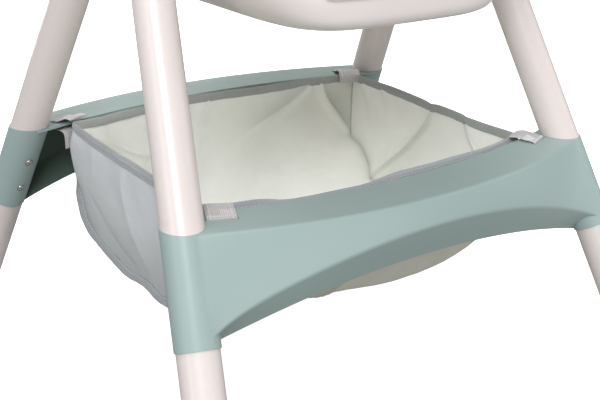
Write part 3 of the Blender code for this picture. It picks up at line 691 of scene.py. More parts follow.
def make_stage():
    """A white floor and backdrop, a white world and large soft lights."""
    scene = bpy.context.scene
    scene.view_settings.view_transform = "Standard"
    world = bpy.data.worlds.new("studio")
    world.use_nodes = True
    world.node_tree.nodes["Background"].inputs["Color"].default_value = (1.0, 1.0, 1.0, 1.0)
    world.node_tree.nodes["Background"].inputs["Strength"].default_value = 0.30
    scene.world = world
    half = 30.0
    floor = mesh_object("floor", [(-half, -half, -0.0005), (half, -half, -0.0005), (half, half, -0.0005),
                                  (-half, half, -0.0005)], [(0, 1, 2, 3)], "tube")
    floor.data.materials[0] = floor_paint("floor_paint")
    sweep = [(0.0, 28.0), (9.0, 27.0), (18.0, 21.5), (24.0, 12.5), (26.5, 0.0)]
    backdrop = turned("backdrop", (0, 0, -0.0004), (0, 0, 1), sweep, "tube", 48, 89)
    backdrop.data.materials[0] = floor.data.materials[0]
    for surface in (floor, backdrop):
        surface.visible_diffuse = surface.visible_glossy = False
        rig.stage(surface)
    backdrop.visible_shadow = False
    middle = (0, 0, 0.4)
    area_light("key", (-2.9, -3.5, 3.9), middle, (2.2, 2.2), 226.0, (0.96, 0.985, 1.025))
    area_light("overhead", (0.3, 0.5, 5.2), middle, (4.2, 4.2), 150.0, (1.0, 0.985, 0.955))
    area_light("right_strip", (2.6, -1.4, 1.1), middle, (0.4, 2.2), 9.0)
    area_light("left_strip", (-2.6, -0.4, 1.1), middle, (0.35, 1.8), 11.0)
    area_light("low_front", (0.9, -4.1, 0.4), (0.1, 0, 0.35), (2.6, 0.6), 34.0)
    area_light("back_fill", (0.6, 3.4, 0.35), (0, 0, 0.55), (2.8, 0.6), 44.0)


# ---------------------------------------------------------------- legs
def make_legs():
    """Four hollow tubes with soft lips at their open ends, each with its boot."""
    for _, _, name in CORNERS:
        low, high, radius = measure_tube(f"leg_tube_{name}")
        length = (high - low).length
        wall, lip = 0.0016, 0.0006
        profile = [(0.02, radius - wall), (0, radius - wall), (0, radius - lip), (lip, radius)]
        profile += [(lip + (length - 2 * lip) * k / 24, radius) for k in range(1, 25)]
        profile += [(length, radius - lip), (length, radius - wall), (length - 0.02, radius - wall)]
        tube = turned(f"tube_{name}", low, high - low, profile, "tube", 96)
        stand_for(tube, "root", f"leg_tube_{name}", slot="leg_tube")
        make_boot(name, low, (high - low).normalized(), radius)


def make_boot(name, low, run, tube_radius):
    """A rubber boot: a ribbed collar that widens into a flat sole, level with the floor."""
    base = low - run * (low.z / run.z)
    side, up = across_axis(run)
    rows = [
        (0.0000, 0.0225, 1.0), (0.0000, 0.0245, 1.0), (0.0016, 0.0260, 1.0), (0.0040, 0.0264, 0.9),
        (0.0120, 0.0262, 0.6), (0.0170, 0.0250, 0.35), (0.0230, 0.0238, 0.1), (0.0290, 0.0233, 0.0),
        (0.0330, 0.0233, 0.0), (0.0335, 0.0226, 0.0), (0.0350, 0.0226, 0.0), (0.0355, 0.0233, 0.0),
        (0.0385, 0.0233, 0.0), (0.0390, 0.0226, 0.0), (0.0405, 0.0226, 0.0), (0.0410, 0.0233, 0.0),
        (0.0500, 0.0234, 0.0), (0.0512, 0.0228, 0.0), (0.0514, 0.0215, 0.0),
        (0.0510, tube_radius + 0.0004, 0.0), (0.0300, tube_radius + 0.0004, 0.0),
    ]
    rings = []
    for height, radius, level in rows:
        ring = []
        for i in range(64):
            turn = math.tau * i / 64
            offset = (side * math.cos(turn) + up * math.sin(turn)) * radius
            offset -= run * (offset.z / run.z) * level
            ring.append(base + run * (height / run.z) + offset)
        rings.append(ring)
    boot = loft(f"boot_{name}", rings, "rubber", smooth_deg=50)
    stand_for(boot, "root", f"foot_boot_{name}", slot="foot_boot")


# ---------------------------------------------------------------- crossbars
TOP_Z = 0.290            # top of the crossbars
SLEEVE_R = 0.0225
SLEEVE_DROP = 0.1026
SLEEVE_BORE = 0.0198
BAR_WALL = 0.0028
SCREW_DROPS = (0.0358, 0.0736)
SLOT_X, SLOT_INSET, SLOT_SIZE, STRAP_TURN = 0.2190, 0.0200, (0.0330, 0.0050), math.radians(23)


def leg_line(side, end):
    """A leg's axis as a point at the crossbar's top and its direction, pointing up."""
    name = [n for s, e, n in CORNERS if (s, e) == (side, end)][0]
    low, high, _ = measure_tube(f"leg_tube_{name}")
    run = (high - low).normalized()
    return low + run * ((TOP_Z - low.z) / run.z), run


def bar_inner_y(x):
    """How far from the middle the crossbar's top begins, at x."""
    return 0.1970 - x * x / 1.70


def bar_outer_y(x):
    """How far from the middle the crossbar's bowed front lies, at x."""
    return 0.2585 - (0.709 - math.sqrt(0.709 ** 2 - x * x))


def bezier_corner(before, corner, after, reach, steps=5):
    """Points of a soft corner, from one edge to the next."""
    a = corner + (before - corner).normalized() * min(reach, (before - corner).length * 0.45)
    b = corner + (after - corner).normalized() * min(reach, (after - corner).length * 0.45)
    return [a.lerp(corner, t).lerp(corner.lerp(b, t), t) for t in (k / steps for k in range(steps + 1))]


def bar_outline(share, half):
    """The channel's outer line as (y, z below the top) points, with soft corners."""
    x = share * half
    slope = 0.27 + 0.246 * abs(share) ** 8
    crease_z = -0.0277 - 0.90 * x * x
    low = Vector((0.2405 - 0.018 * (abs(x) / 0.25) ** 2.6, -0.072 - 0.040 * (abs(x) / 0.25) ** 2.2))
    top_y = bar_outer_y(x)
    inner = Vector((bar_inner_y(x), 0.0))
    corner = Vector((top_y, 0.0))
    crease = Vector((top_y - slope * crease_z, crease_z))
    line = [inner, inner + Vector((0.003, 0.0))]
    line += [inner.lerp(corner, t) for t in (0.3, 0.6)]
    line += bezier_corner(inner, corner, crease, 0.0034, 6)
    line += [corner.lerp(crease, 0.5)]
    line += bezier_corner(corner, crease, low, 0.0032, 4)
    line += [crease.lerp(low, 0.6), low]
    return line


def inner_line(line, distance):
    """The line moved to its inner side by the wall's thickness."""
    moved = []
    for k, point in enumerate(line):
        before = (point - line[k - 1]).normalized() if k else None
        after = (line[k + 1] - point).normalized() if k + 1 < len(line) else None
        first, second = before or after, after or before
        normal = Vector((first.y, -first.x))
        miter = (normal + Vector((second.y, -second.x))).normalized()
        moved.append(point + miter * (distance / max(0.6, miter.dot(normal))))
    return moved


def ring_round(start, run, z, radius, level, count=96):
    """A ring round a leg where its axis passes height z: level with the floor, or square to the leg."""
    side, up = across_axis(run)
    middle = start + run * ((z - start.z) / run.z)
    ring = []
    for i in range(count):
        turn = math.tau * i / count
        offset = (side * math.cos(turn) + up * math.sin(turn)) * radius
        if level:
            offset -= run * (offset.z / run.z)
        ring.append(middle + offset)
    return ring


def screw_way(side, end, run):
    """The way a sleeve's screws point, square to the leg."""
    aim = Vector((-0.11 * side, -end, 0))
    return (aim - run * aim.dot(run)).normalized()


def strap_frame(side, end):
    """The middle of a strap's slot, the way the strap runs out to it, and the way across the strap."""
    middle = Vector((side * SLOT_X, end * (bar_inner_y(SLOT_X) + SLOT_INSET), TOP_Z))
    outward = Vector((side * math.sin(STRAP_TURN), end * math.cos(STRAP_TURN), 0))
    across = Vector((side * math.cos(STRAP_TURN), -end * math.sin(STRAP_TURN), 0))
    return middle, outward, across


def make_crossbar(end, label):
    """A bowed channel with a sleeve at each end, slots for the straps and pockets for the screws."""
    start, run = leg_line(1, end)
    half, splay = start.x, abs(run.x / run.z)
    rings = []
    stations = 110
    for k in range(stations + 1):
        share = -1 + 2 * k / stations
        line = bar_outline(share, half)
        loop = line + inner_line(line, BAR_WALL)[::-1]
        rings.append([Vector((share * (half - splay * p.y), end * p.x, TOP_Z + p.y)) for p in loop])
    bar = loft(f"crossbar_shell_{label}", rings, "bar")
    # The faces inside the channel take the darker copy of the plastic: painted shade.
    bar.data.materials.append(MATERIALS["bar_inside"])
    for face in bar.data.polygons[:stations * len(rings[0])]:
        face.material_index = 1 if len(line) <= face.index % len(rings[0]) < len(rings[0]) - 1 else 0
    sleeves, cuts = [], []
    for side, _ in SIDES:
        start, run = leg_line(side, end)
        low_ring = ring_round(start, run, TOP_Z - SLEEVE_DROP, SLEEVE_R, False)
        top_ring = ring_round(start, run, TOP_Z + 0.0006, SLEEVE_R, True)
        sleeves.append(loft("sleeve", [low_ring, top_ring], "bar"))
        bore = [ring_round(start, run, z, SLEEVE_BORE, True) for z in (TOP_Z - 0.14, TOP_Z + 0.03)]
        cuts.append(loft("bore", bore, "bar"))
        middle, outward, across = strap_frame(side, end)
        corners = [(middle + (across * (SLOT_SIZE[0] / 2 * p) + outward * (SLOT_SIZE[1] / 2 * q))).xy
                   for p, q in SQUARE]
        cuts.append(slab("slot", corners, (TOP_Z - 0.012, TOP_Z + 0.01), "bar"))
        way = screw_way(side, end, run)
        for drop in SCREW_DROPS:
            seat = start - run * (drop / run.z) + way * (SLEEVE_R - 0.0020)
            cuts.append(drill("pocket", seat, way, 0.0050, (0, 0.02), "bar"))
    carve(bar, cuts, 30, 0.0007, 50, sleeves)
    stand_for(bar, "root", f"crossbar_{label}", slot="crossbar")


def make_screws():
    """Cross-recessed pan-head screws in the sleeves."""
    profile = [(-0.006, 0.0018), (0, 0.0020), (0, 0.0040), (0.0006, 0.0041), (0.0012, 0.0038),
               (0.0018, 0.0030), (0.0022, 0.0016), (0.0023, 0.0004)]
    box = [(0, 1, 2, 3), (4, 5, 6, 7), (0, 1, 5, 4), (1, 2, 6, 5), (2, 3, 7, 6), (3, 0, 4, 7)]
    for side, end, name in CORNERS:
        start, run = leg_line(side, end)
        way = screw_way(side, end, run)
        for drop, height in zip(SCREW_DROPS, ("upper", "lower")):
            seat = start - run * (drop / run.z) + way * (SLEEVE_R - 0.0008)
            head = turned(f"screw_{name}_{height}", seat, way, profile, "steel", 32, 60)
            recess = []
            u, v = across_axis(way)
            for a, b in ((u, v), (v, u)):
                corners = [seat + way * depth + a * (0.0020 * p) + b * (0.00045 * q)
                           for depth in (0.0010, 0.0030) for p, q in SQUARE]
                recess.append(mesh_object("recess", corners, box, "steel"))
            combine(head, recess)
            resmooth(head, 40)
            stand_for(head, "root", f"crossbar_screw_{name}_{height}", slot="steel")


# ---------------------------------------------------------------- basket
def metres(rows):
    """Rows of millimetres as an array of metres, rounded to exact decimals."""
    return np.round(np.array(rows, float) / 1000, 7)


# The side panels' seams, from the rear rim under the floor to the front rim. The cloth hangs a little
# differently on the two sides.
RIGHT_SEAM = metres((
    (214.8, 159, 288.5), (211, 156, 250), (206, 150, 208.5), (205, 123, 196.5), (206, 103.5, 175),
    (207.5, 96, 153), (208, 60, 145), (207, 0, 147.5), (208, -65, 145), (207, -115, 152),
    (207, -144, 178), (209, -153, 222), (214.8, -159, 285),
))
LEFT_SEAM = metres((
    (-214.8, 159, 288.5), (-220.5, 158, 262), (-216, 158, 228), (-212, 153, 205), (-211.5, 146.4, 186),
    (-211.5, 134, 169), (-211.5, 104, 158.6), (-211.5, 65, 151), (-211.5, 32, 146.8),
    (-211.5, -15, 151.5), (-211.5, -57, 147.6), (-208.5, -142, 172), (-214.8, -159, 288.5),
))
# The middle of the long panel, which is the rear wall, the floor and the front wall in one piece.
MIDDLE_LINE = metres((
    (0, 177, 289), (0, 177.5, 248), (0, 173, 205), (0, 160, 170), (0, 133, 143), (0, 95, 127),
    (0, 48, 119), (0, 0, 116.5), (0, -55, 115), (0, -99, 117), (0, -136, 146), (0, -166, 204),
    (0, -186, 287),
))
REAR_RIM = metres((
    (-214.8, 159), (-180, 160), (-145, 166), (-100, 172), (-40, 179), (5, 177), (45, 172.5), (95, 171.5),
    (135, 173.5), (165, 169), (195, 163), (214.8, 159),
))
FRONT_RIM = metres((
    (-214.8, -159), (-180, -161), (-156, -164), (-138, -176), (-115, -181), (-60, -184.5), (0, -186.5),
    (50, -185.5), (105, -181), (150, -177), (185, -168), (214.8, -159),
))
# Folds that show in the photo, as rows of crease's settings: a line in millimetres, then width and depth in
# metres and lean. The rear wall is seen along Y, the floor along Z and the side panels along X.
REAR_FOLDS = (
    (((158, 287), (169, 259), (189, 231), (206, 209)), 0.0080, 0.0095, 0.5),
    (((150, 288), (118, 270), (85, 252), (60, 232)), 0.013, 0.0105, -0.55),
    (((-12, 289), (-20, 268), (-30, 245)), 0.006, 0.0035, 0.3),
    (((70, 287), (66, 270), (70, 255)), 0.005, 0.0022),
    (((-178, 288), (-168, 262), (-130, 236), (-95, 222)), 0.010, 0.0055, 0.4),
    (((-30, 235), (-45, 205), (-60, 185)), 0.012, 0.0035, 0.3),
    (((-198, 287), (-196, 262), (-200, 235)), 0.006, 0.0040),
)
FLOOR_FOLDS = (
    (((-20, -140), (-35, -105), (-45, -60)), 0.008, -0.006, 0.4),
    (((190, 100), (100, 40), (20, 20)), 0.018, 0.005),
    (((-190, 80), (-110, 30), (-40, -10)), 0.016, 0.005),
    (((190, -100), (120, -50), (50, -30)), 0.018, 0.004),
)
SIDE_FOLDS = {
    1: (
        (((-12, 288), (-4, 262), (30, 220), (70, 183), (100, 152)), 0.0075, -0.0120, 0.6),
        (((-68, 287), (-78, 268), (-100, 240)), 0.007, -0.0050, -0.4),
        (((140, 288), (110, 262), (85, 235)), 0.009, -0.0040, 0.3),
        (((100, 288), (82, 268), (72, 250)), 0.006, -0.0030, 0.3),
    ),
    -1: (
        (((22, 286), (18, 250), (0, 205), (-30, 165)), 0.015, 0.0036, 0.45),
        (((95, 288), (100, 250), (120, 215)), 0.014, 0.0024, -0.3),
        (((125, 215), (85, 185), (45, 168), (10, 160)), 0.009, -0.0030, 0.3),
        (((-60, 286), (-72, 245), (-80, 200)), 0.014, 0.0024, 0.3),
    ),
}
# The painted shade beside them, as rows of fold_shade's settings: a line in millimetres, then amount, reach
# in metres, side and thin.
REAR_SHADES = (
    (((163, 291), (172, 262), (190, 234), (206, 209)), 0.55, 0.022, 1, 0.12),
    (((152, 291), (118, 272), (85, 255), (54, 238)), 0.42, 0.020, -1, 0.06),
    (((-12, 289), (-20, 268), (-30, 248)), 0.16, 0.010, -1),
    (((-190, 288), (-168, 262), (-130, 238)), 0.16, 0.014, 1),
    (((-112, 225), (-125, 200), (-150, 172)), 0.15, 0.016, 1),
)
FLOOR_SHADES = (
    (((-20, -150), (-35, -115), (-45, -80)), 0.30, 0.006, 1, 0.2),
)
SIDE_SHADES = {
    1: (
        (((-13, 290), (-4, 262), (30, 220), (70, 183), (103, 150)), 0.20, 0.050, -1, 0.26),
        (((-67, 290), (-78, 270), (-98, 250)), 0.24, 0.008, -1, 0.10),
        (((150, 290), (128, 268), (115, 245)), 0.14, 0.010, 1),
        (((100, 289), (86, 272), (78, 256)), 0.10, 0.006, 1),
    ),
    -1: (
        (((22, 286), (18, 250), (0, 205), (-30, 165)), 0.12, 0.016, -1),
        (((125, 212), (85, 184), (45, 168), (10, 163)), 0.14, 0.008, 1),
    ),
}


def smooth_curve(points, each):
    """A smooth curve through points (Catmull-Rom), with each steps from one of them to the next."""
    points = np.array(points, float)
    padded = np.vstack([2 * points[0] - points[1], points, 2 * points[-1] - points[-2]])
    rows = []
    for k in range(len(points) - 1):
        a, b, c, d = padded[k:k + 4]
        for t in np.linspace(0, 1, each, endpoint=False):
            rows.append(0.5 * (2 * b + (c - a) * t + (2 * a - 5 * b + 4 * c - d) * t ** 2
                               + (3 * b - a - 3 * c + d) * t ** 3))
    return np.array(rows + [points[-1]])


def curve_through(points, steps):
    """A smooth curve through points, with steps + 1 evenly spaced points along it."""
    return spaced(smooth_curve(points, 24), steps)


def spaced(line, steps):
    """Points of a line again, evenly spaced, steps + 1 of them."""
    far = np.concatenate([[0], np.cumsum(np.linalg.norm(np.diff(line, axis=0), axis=1))])
    want = np.linspace(0, far[-1], steps + 1)
    return np.stack([np.interp(want, far, line[:, k]) for k in range(line.shape[1])], axis=1)


def from_line(place, line):
    """Distance of places (n, 2) from a line, how far along it they are, and which side they are on."""
    line = curve_through(line, 24)
    best = np.full(len(place), 9.0)
    share = np.zeros(len(place))
    sign = np.ones(len(place))
    for k in range(24):
        a, run = line[k], line[k + 1] - line[k]
        t = np.clip(((place - a) @ run) / (run @ run), 0, 1)
        gap = place - (a + t[:, None] * run)
        far = np.linalg.norm(gap, axis=1)
        nearer = far < best
        best = np.where(nearer, far, best)
        share = np.where(nearer, (k + t) / 24, share)
        sign = np.where(nearer, np.sign(run[0] * gap[:, 1] - run[1] * gap[:, 0]), sign)
    return best, share, sign


def crease(place, line, width, depth, lean=0.0):
    """Height of a fold near a line: a soft ridge that fades at its ends. lean makes one side steeper."""
    best, share, sign = from_line(place, line)
    fade = np.sin(np.pi * np.clip(share * 0.86 + 0.10, 0, 1)) ** 0.6
    return depth * fade * np.exp(-best / (width * (1 + lean * sign)))


def fold_shade(place, line, amount, reach, side=0, thin=0.0):
    """The painted shade beside a fold: on its left side (1), its right side (-1) or both (0), and on it."""
    best, share, sign = from_line(place, line)
    fade = np.sin(np.pi * np.clip(share * 0.80 + 0.14, 0, 1)) ** 0.7
    beside = np.exp(-best / reach)
    if side:
        beside = beside * np.clip(0.5 + side * sign * best / 0.0016, 0, 1)
    return fade * (amount * beside + thin * np.exp(-(best / 0.0022) ** 2))


def summed(draw, place, rows):
    """The sum of the folds or the shades of a table's rows, drawn by crease or fold_shade."""
    return sum(draw(place, metres(line), *settings) for line, *settings in rows)


RIM_X = 0.2148          # where the rim's corners hang
LONG_STEPS = 240        # along the long panel
CROSS_STEPS = 150       # across it
SIDE_STEPS = 60         # down a side panel


def long_panel():
    """Rows of points of the long panel, from the rear rim to the front rim."""
    left, right, middle = (smooth_curve(line, LONG_STEPS // (len(line) - 1))
                           for line in (LEFT_SEAM, RIGHT_SEAM, MIDDLE_LINE))
    rear = curve_through(REAR_RIM, 200)
    front = curve_through(FRONT_RIM, 200)
    t = np.linspace(-1, 1, CROSS_STEPS + 1)
    even = 1 - np.abs(t) ** 3.2
    peak = 0.08             # the load has settled to the right of the middle
    skewed = np.where(t < peak, 1 - np.abs((t - peak) / (1 + peak)) ** 1.9,
                      1 - np.abs((t - peak) / (1 - peak)) ** 2.6)
    rows = []
    for k in range(LONG_STEPS + 1):
        settled = smoothstep(0.35, 0.55, k / LONG_STEPS) * smoothstep(0.95, 0.85, k / LONG_STEPS)
        pull = even + (1.03 * skewed - even) * settled
        row = left[k] + (right[k] - left[k]) * ((t + 1) / 2)[:, None]
        row = row + pull[:, None] * (middle[k] - (left[k] + right[k]) / 2)
        rows.append(row)
    rows = np.array(rows)
    for near, rim in ((0, rear), (LONG_STEPS, front)):
        wish = np.interp(rows[near, :, 0], rim[:, 0], rim[:, 1]) - rows[near, :, 1]
        for k in range(LONG_STEPS + 1):
            share = abs(k - near) / (LONG_STEPS / 12 * 2.4)
            rows[k, :, 1] += wish * max(0.0, 1 - share) ** 1.5
    x = rows[LONG_STEPS, :, 0]
    dip = 0.0065 * np.array([smoothstep(0.015, -0.050, v) * (0.55 + 0.45 * smoothstep(-0.215, -0.14, v))
                             for v in x])
    for k in range(LONG_STEPS * 5 // 6, LONG_STEPS + 1):
        rows[k, :, 2] -= dip * (k / LONG_STEPS * 6 - 5)
    return rows


def seam_painted_shade(rows, edge):
    """The painted shade in the valley of a side panel's seam: thin down the rear corner and broad below it."""
    away = np.linalg.norm(rows - edge, axis=2)
    share = np.arange(LONG_STEPS + 1) / LONG_STEPS
    thin = np.clip((0.18 - share) / 0.03, 0, 1)
    broad = np.clip((share - 0.14) / 0.04, 0, 1) * np.clip((0.49 - share) / 0.08, 0, 1)
    thin, broad = thin[:, None], broad[:, None]
    tone = thin * 0.6 * np.exp(-(away / 0.0020) ** 2) + broad * 0.55 * np.exp(-away / 0.0065)
    return tone.reshape(-1)


def long_painted_shade(rows):
    """The painted shade of the long panel: beside its creases, just under the rim on the rear wall, and along its
    seams.
    """
    flat = rows.reshape(-1, 3)
    rear = (flat[:, 1] > 0.10) & (flat[:, 2] > 0.135)
    tone = summed(fold_shade, flat[:, [0, 2]], REAR_SHADES)
    # Painted shade on the rear wall just under the rim binding.
    tone += 0.16 * np.exp(-(0.290 - flat[:, 2]) / 0.007)
    tone = np.where(rear, tone, 0.0)
    below = summed(fold_shade, flat[:, [0, 1]], FLOOR_SHADES)
    tone += np.where(flat[:, 2] < 0.15, below, 0.0)
    return tone + seam_painted_shade(rows, rows[:, -1:]) + seam_painted_shade(rows, rows[:, :1])


def side_painted_shade(side, rows):
    """The painted shade of a side panel: beside its creases and along its seam, and on the left one darker towards the
    floor.
    """
    flat = rows.reshape(-1, 3)
    tone = summed(fold_shade, flat[:, [1, 2]], SIDE_SHADES[side])
    if side < 0:
        # Painted shade on the left panel, growing towards the floor.
        tone += 0.40 * np.clip((0.225 - flat[:, 2]) / 0.07, 0, 1)
    down = rows.transpose(1, 0, 2)
    return tone + seam_painted_shade(down, down[:, -1:]).reshape(LONG_STEPS + 1, -1).T.reshape(-1)


def fold_long_panel(rows):
    """Creases of the rear wall, and soft waves of the floor."""
    flat = rows.reshape(-1, 3)
    rear = flat[:, 1] > 0.10
    flat[:, 1] -= np.where(rear, summed(crease, flat[:, [0, 2]], REAR_FOLDS), 0)
    floor = np.clip((0.175 - flat[:, 2]) / 0.03, 0, 1)
    flat[:, 2] += floor * summed(crease, flat[:, [0, 1]], FLOOR_FOLDS)
    return flat.reshape(rows.shape)


def side_panel(side, seam):
    """Rows of a side panel, from its rim down to its seam. Its outline is the long panel's edge."""
    count = LONG_STEPS
    rear_z, front_z = seam[0][2], seam[-1][2]
    columns = []
    for k in range(count + 1):
        low = seam[k]
        share = k / count
        y = seam[0][1] + (seam[-1][1] - seam[0][1]) * share
        z = rear_z + (front_z - rear_z) * share
        top = np.array([side * (RIM_X + 0.0040 * math.sin(math.pi * share) ** 0.4), y, z])
        if side > 0:
            top[0] -= 0.0035 * math.exp(-((share - 0.50) / 0.16) ** 2)
            top[2] -= 0.0030 * math.exp(-((share - 0.80) / 0.14) ** 2)
        columns.append((top, low))
    rows = []
    for j in range(SIDE_STEPS + 1):
        drop = j / SIDE_STEPS
        rows.append([top + (low - top) * drop for top, low in columns])
    rows = np.array(rows)
    middle = np.sin(np.pi * np.linspace(0, 1, SIDE_STEPS + 1))[:, None]
    along = np.sin(np.pi * np.linspace(0, 1, count + 1))[None, :] ** 0.8
    rows[:, :, 0] += side * 0.0035 * middle * along
    return rows


def fold_side_panel(side, rows):
    """Creases of a side panel, fading out towards its seams."""
    flat = rows.reshape(-1, 3)
    edge = np.clip((0.163 - np.abs(flat[:, 1])) / 0.02, 0, 1)
    flat[:, 0] += side * summed(crease, flat[:, [1, 2]], SIDE_FOLDS[side]) * edge
    return flat.reshape(rows.shape)


def rumple(points, normals, amount):
    """Small soft wrinkles all over the cloth."""
    for k, point in enumerate(points):
        slow = (wobble(point, 14.0, 3.1) * 0.6 + wobble(point, 33.0, 7.7) * 0.3
                + wobble(point, 80.0, 1.3) * 0.1)
        points[k] = point + normals[k] * slow * amount


def add_panel(work, rows, tone, is_long):
    """Adds a panel's faces to the cloth, with their painted shade and their flat coordinates."""
    uv = work.loops.layers.uv["UVMap"]
    painted_crease_shade = work.verts.layers.float["crease_tone"]
    grid = [[work.verts.new(p) for p in row] for row in rows]
    for vertex, value in zip((v for row in grid for v in row), tone):
        vertex[painted_crease_shade] = float(value)
    steps = np.linalg.norm(np.diff(rows[:, rows.shape[1] // 2], axis=0), axis=1)
    far = np.concatenate([[0], np.cumsum(steps)])
    for j in range(len(rows) - 1):
        for i in range(len(rows[0]) - 1):
            corners = ((j, i), (j, i + 1), (j + 1, i + 1), (j + 1, i))
            face = work.faces.new([grid[a][b] for a, b in corners])
            face.material_index = 1 if is_long else 0
            for loop, (a, b) in zip(face.loops, corners):
                p = rows[a][b]
                loop[uv].uv = (p[0], far[a]) if is_long else (p[1], p[2])


def make_basket():
    """The cloth: three panels sewn together, rumpled, with an inside and an outside."""
    long_rows = fold_long_panel(long_panel())
    left = fold_side_panel(-1, side_panel(-1, long_rows[:, 0]))
    right = fold_side_panel(1, side_panel(1, long_rows[:, -1]))
    work = bmesh.new()
    work.loops.layers.uv.new("UVMap")
    # A per-vertex layer for the painted shade of creases and seams.
    work.verts.layers.float.new("crease_tone")
    add_panel(work, long_rows, long_painted_shade(long_rows), True)
    add_panel(work, left, side_painted_shade(-1, left), False)
    add_panel(work, right, side_painted_shade(1, right), False)
    bmesh.ops.remove_doubles(work, verts=work.verts, dist=0.0004)
    bmesh.ops.recalc_face_normals(work, faces=work.faces)
    middle = Vector((0, 0, 0.2))
    outer = sum((f.normal.dot(f.calc_center_median() - middle) for f in work.faces))
    if outer < 0:
        bmesh.ops.reverse_faces(work, faces=work.faces)
    work.verts.ensure_lookup_table()
    points = [v.co.copy() for v in work.verts]
    rumple(points, [v.normal.copy() for v in work.verts], 0.0022)
    for vertex, point in zip(work.verts, points):
        hold = smoothstep(0.289, 0.270, vertex.co.z)
        vertex.co = vertex.co.lerp(point, hold)
    mesh = bpy.data.meshes.new("basket_cloth")
    work.to_mesh(mesh)
    work.free()
    mesh.shade_smooth()
    cloth = new_object("basket_cloth", mesh)
    for look in ("basket", "basket_under", "basket_inside", "basket_inside"):
        mesh.materials.append(MATERIALS[look])
    solid = cloth.modifiers.new("thickness", "SOLIDIFY")
    solid.thickness = 0.0007
    solid.offset = -1.0
    solid.material_offset = 2
    solid.material_offset_rim = 0
    apply_modifiers(cloth)
    stand_for(cloth, "root", "basket_body", slot="basket_fabric")
    return cloth, long_rows, left, right


def strip(name, points, across, section, material, closed=False, smooth_deg=50.0):
    """Sweeps a section of (across, up) offsets along points. across gives the width's way at each point."""
    rings = []
    count = len(points)
    for k, point in enumerate(points):
        after = points[(k + 1) % count] if closed else points[min(k + 1, count - 1)]
        before = points[k - 1] if closed else points[max(k - 1, 0)]
        run = (Vector(after) - Vector(before)).normalized()
        wide = Vector(across[k])
        wide = (wide - run * wide.dot(run)).normalized()
        up = run.cross(wide)
        rings.append([Vector(point) + wide * a + up * b for a, b in section])
    return loft(name, rings, material, "join" if closed else "cap", smooth_deg)


def make_rim_binding(long_rows, left, right):
    """Tape folded over the rim and stitched, a little puckered."""
    loop = np.vstack([long_rows[0][:-1], right[0][:-1], long_rows[-1][::-1][:-1], left[0][::-1][:-1]])
    line = spaced(np.vstack([loop, loop[:1]]), 420)[:-1]
    rings = []
    for k, point in enumerate(line):
        run = Vector(line[(k + 1) % 420]) - Vector(line[k - 1])
        out = Vector((run.y, -run.x, 0)).normalized()
        out = out if out.dot(Vector((point[0], point[1], 0))) > 0 else -out
        place = Vector(point)
        pucker = 0.0004 * wobble(place, 130.0, 5.0)
        drop = 0.0006 * wobble(place, 70.0, 9.0)
        lean = 0.0007 * wobble(place, 22.0, 2.0)
        fall = 0.0026 * smoothstep(-0.150, -0.158, point[1])
        section = [
            (0.0006, -0.0060 + drop), (0.0016 + pucker, -0.0062 + drop), (0.0019 + pucker, -0.0030),
            (0.0016, 0.0010), (0.0014 + lean, 0.0040), (0.0006 + lean, 0.0055), (-0.0006 + lean, 0.0055),
            (-0.0014 + lean, 0.0040), (-0.0016, 0.0005), (-0.0018 - pucker, -0.0028),
            (-0.0015 - pucker, -0.0052 + drop), (-0.0008, -0.0050 + drop), (-0.0004, 0.0018),
            (0.0004, 0.0018),
        ]
        rings.append([place + out * (a - fall * b / 0.006) + Vector((0, 0, b)) for a, b in section])
    binding = loft("rim_binding", rings, "tape", "join", 60)
    binding.data.materials.append(MATERIALS["tape_inside"])
    # The top face and the inner faces take the darker copy of the tape: painted shade along the binding's top edge.
    outer_faces = 5
    for face in binding.data.polygons:
        face.material_index = 0 if face.index % len(section) < outer_faces else 1
    stand_for(binding, "root", "basket_rim_binding", slot="basket_tape")
    return binding


def make_seam_tapes(long_rows):
    """Bound seams that stand out from the edges of the side panels."""
    tapes = []
    for side, label in SIDES:
        seam = long_rows[:, 0] if side < 0 else long_rows[:, -1]
        line = spaced(seam, 180)[3:-3]
        across = []
        for point in line:
            down = smoothstep(0.215, 0.165, point[2])
            along_y = smoothstep(0.07, 0.15, abs(point[1])) * math.copysign(1, point[1])
            hidden = smoothstep(0.195, 0.225, point[2]) * (1 if point[1] > 0 else 0)
            way = Vector((side * (1 - 1.35 * hidden), along_y * (1 - 0.6 * down), -1.3 * down))
            across.append(way.normalized())
        thick, reach = 0.0007, 0.0078
        section = [(-0.0008, 0.0003), (-0.0008, -0.0003), (0.0016, -thick), (reach * 0.6, -thick * 0.9),
                   (reach, -thick * 0.7), (reach + 0.0006, 0.0), (reach, thick * 0.7),
                   (reach * 0.6, thick * 0.9), (0.0016, thick)]
        tape = strip(f"seam_tape_{label}", line, across, section, "seam_tape")
        for vertex in tape.data.vertices:
            vertex.co.x += 0.0006 * wobble(vertex.co, 60.0, 4.0)
            vertex.co.z += 0.0006 * wobble(vertex.co, 75.0, 8.0)
        stand_for(tape, "root", f"basket_seam_tape_{label}", slot="basket_tape")
        tapes.append(tape)
    return tapes


STRAP_HALF = 0.0150      # half the ribbon's width
# A strap's way as (outward, up) rows: its loose end, over the top, down through the slot and below.
STRAP_ROUTE = (
    (-0.0315, 0.0074), (-0.0225, 0.0078), (-0.0165, 0.0052), (-0.0090, 0.0024), (-0.0016, 0.0014),
    (0.0002, -0.0012), (0.0000, -0.0040), (-0.0016, -0.0070), (-0.0085, -0.0080), (-0.0155, -0.0086),
    (-0.0205, -0.0130), (-0.0215, -0.0300),
)


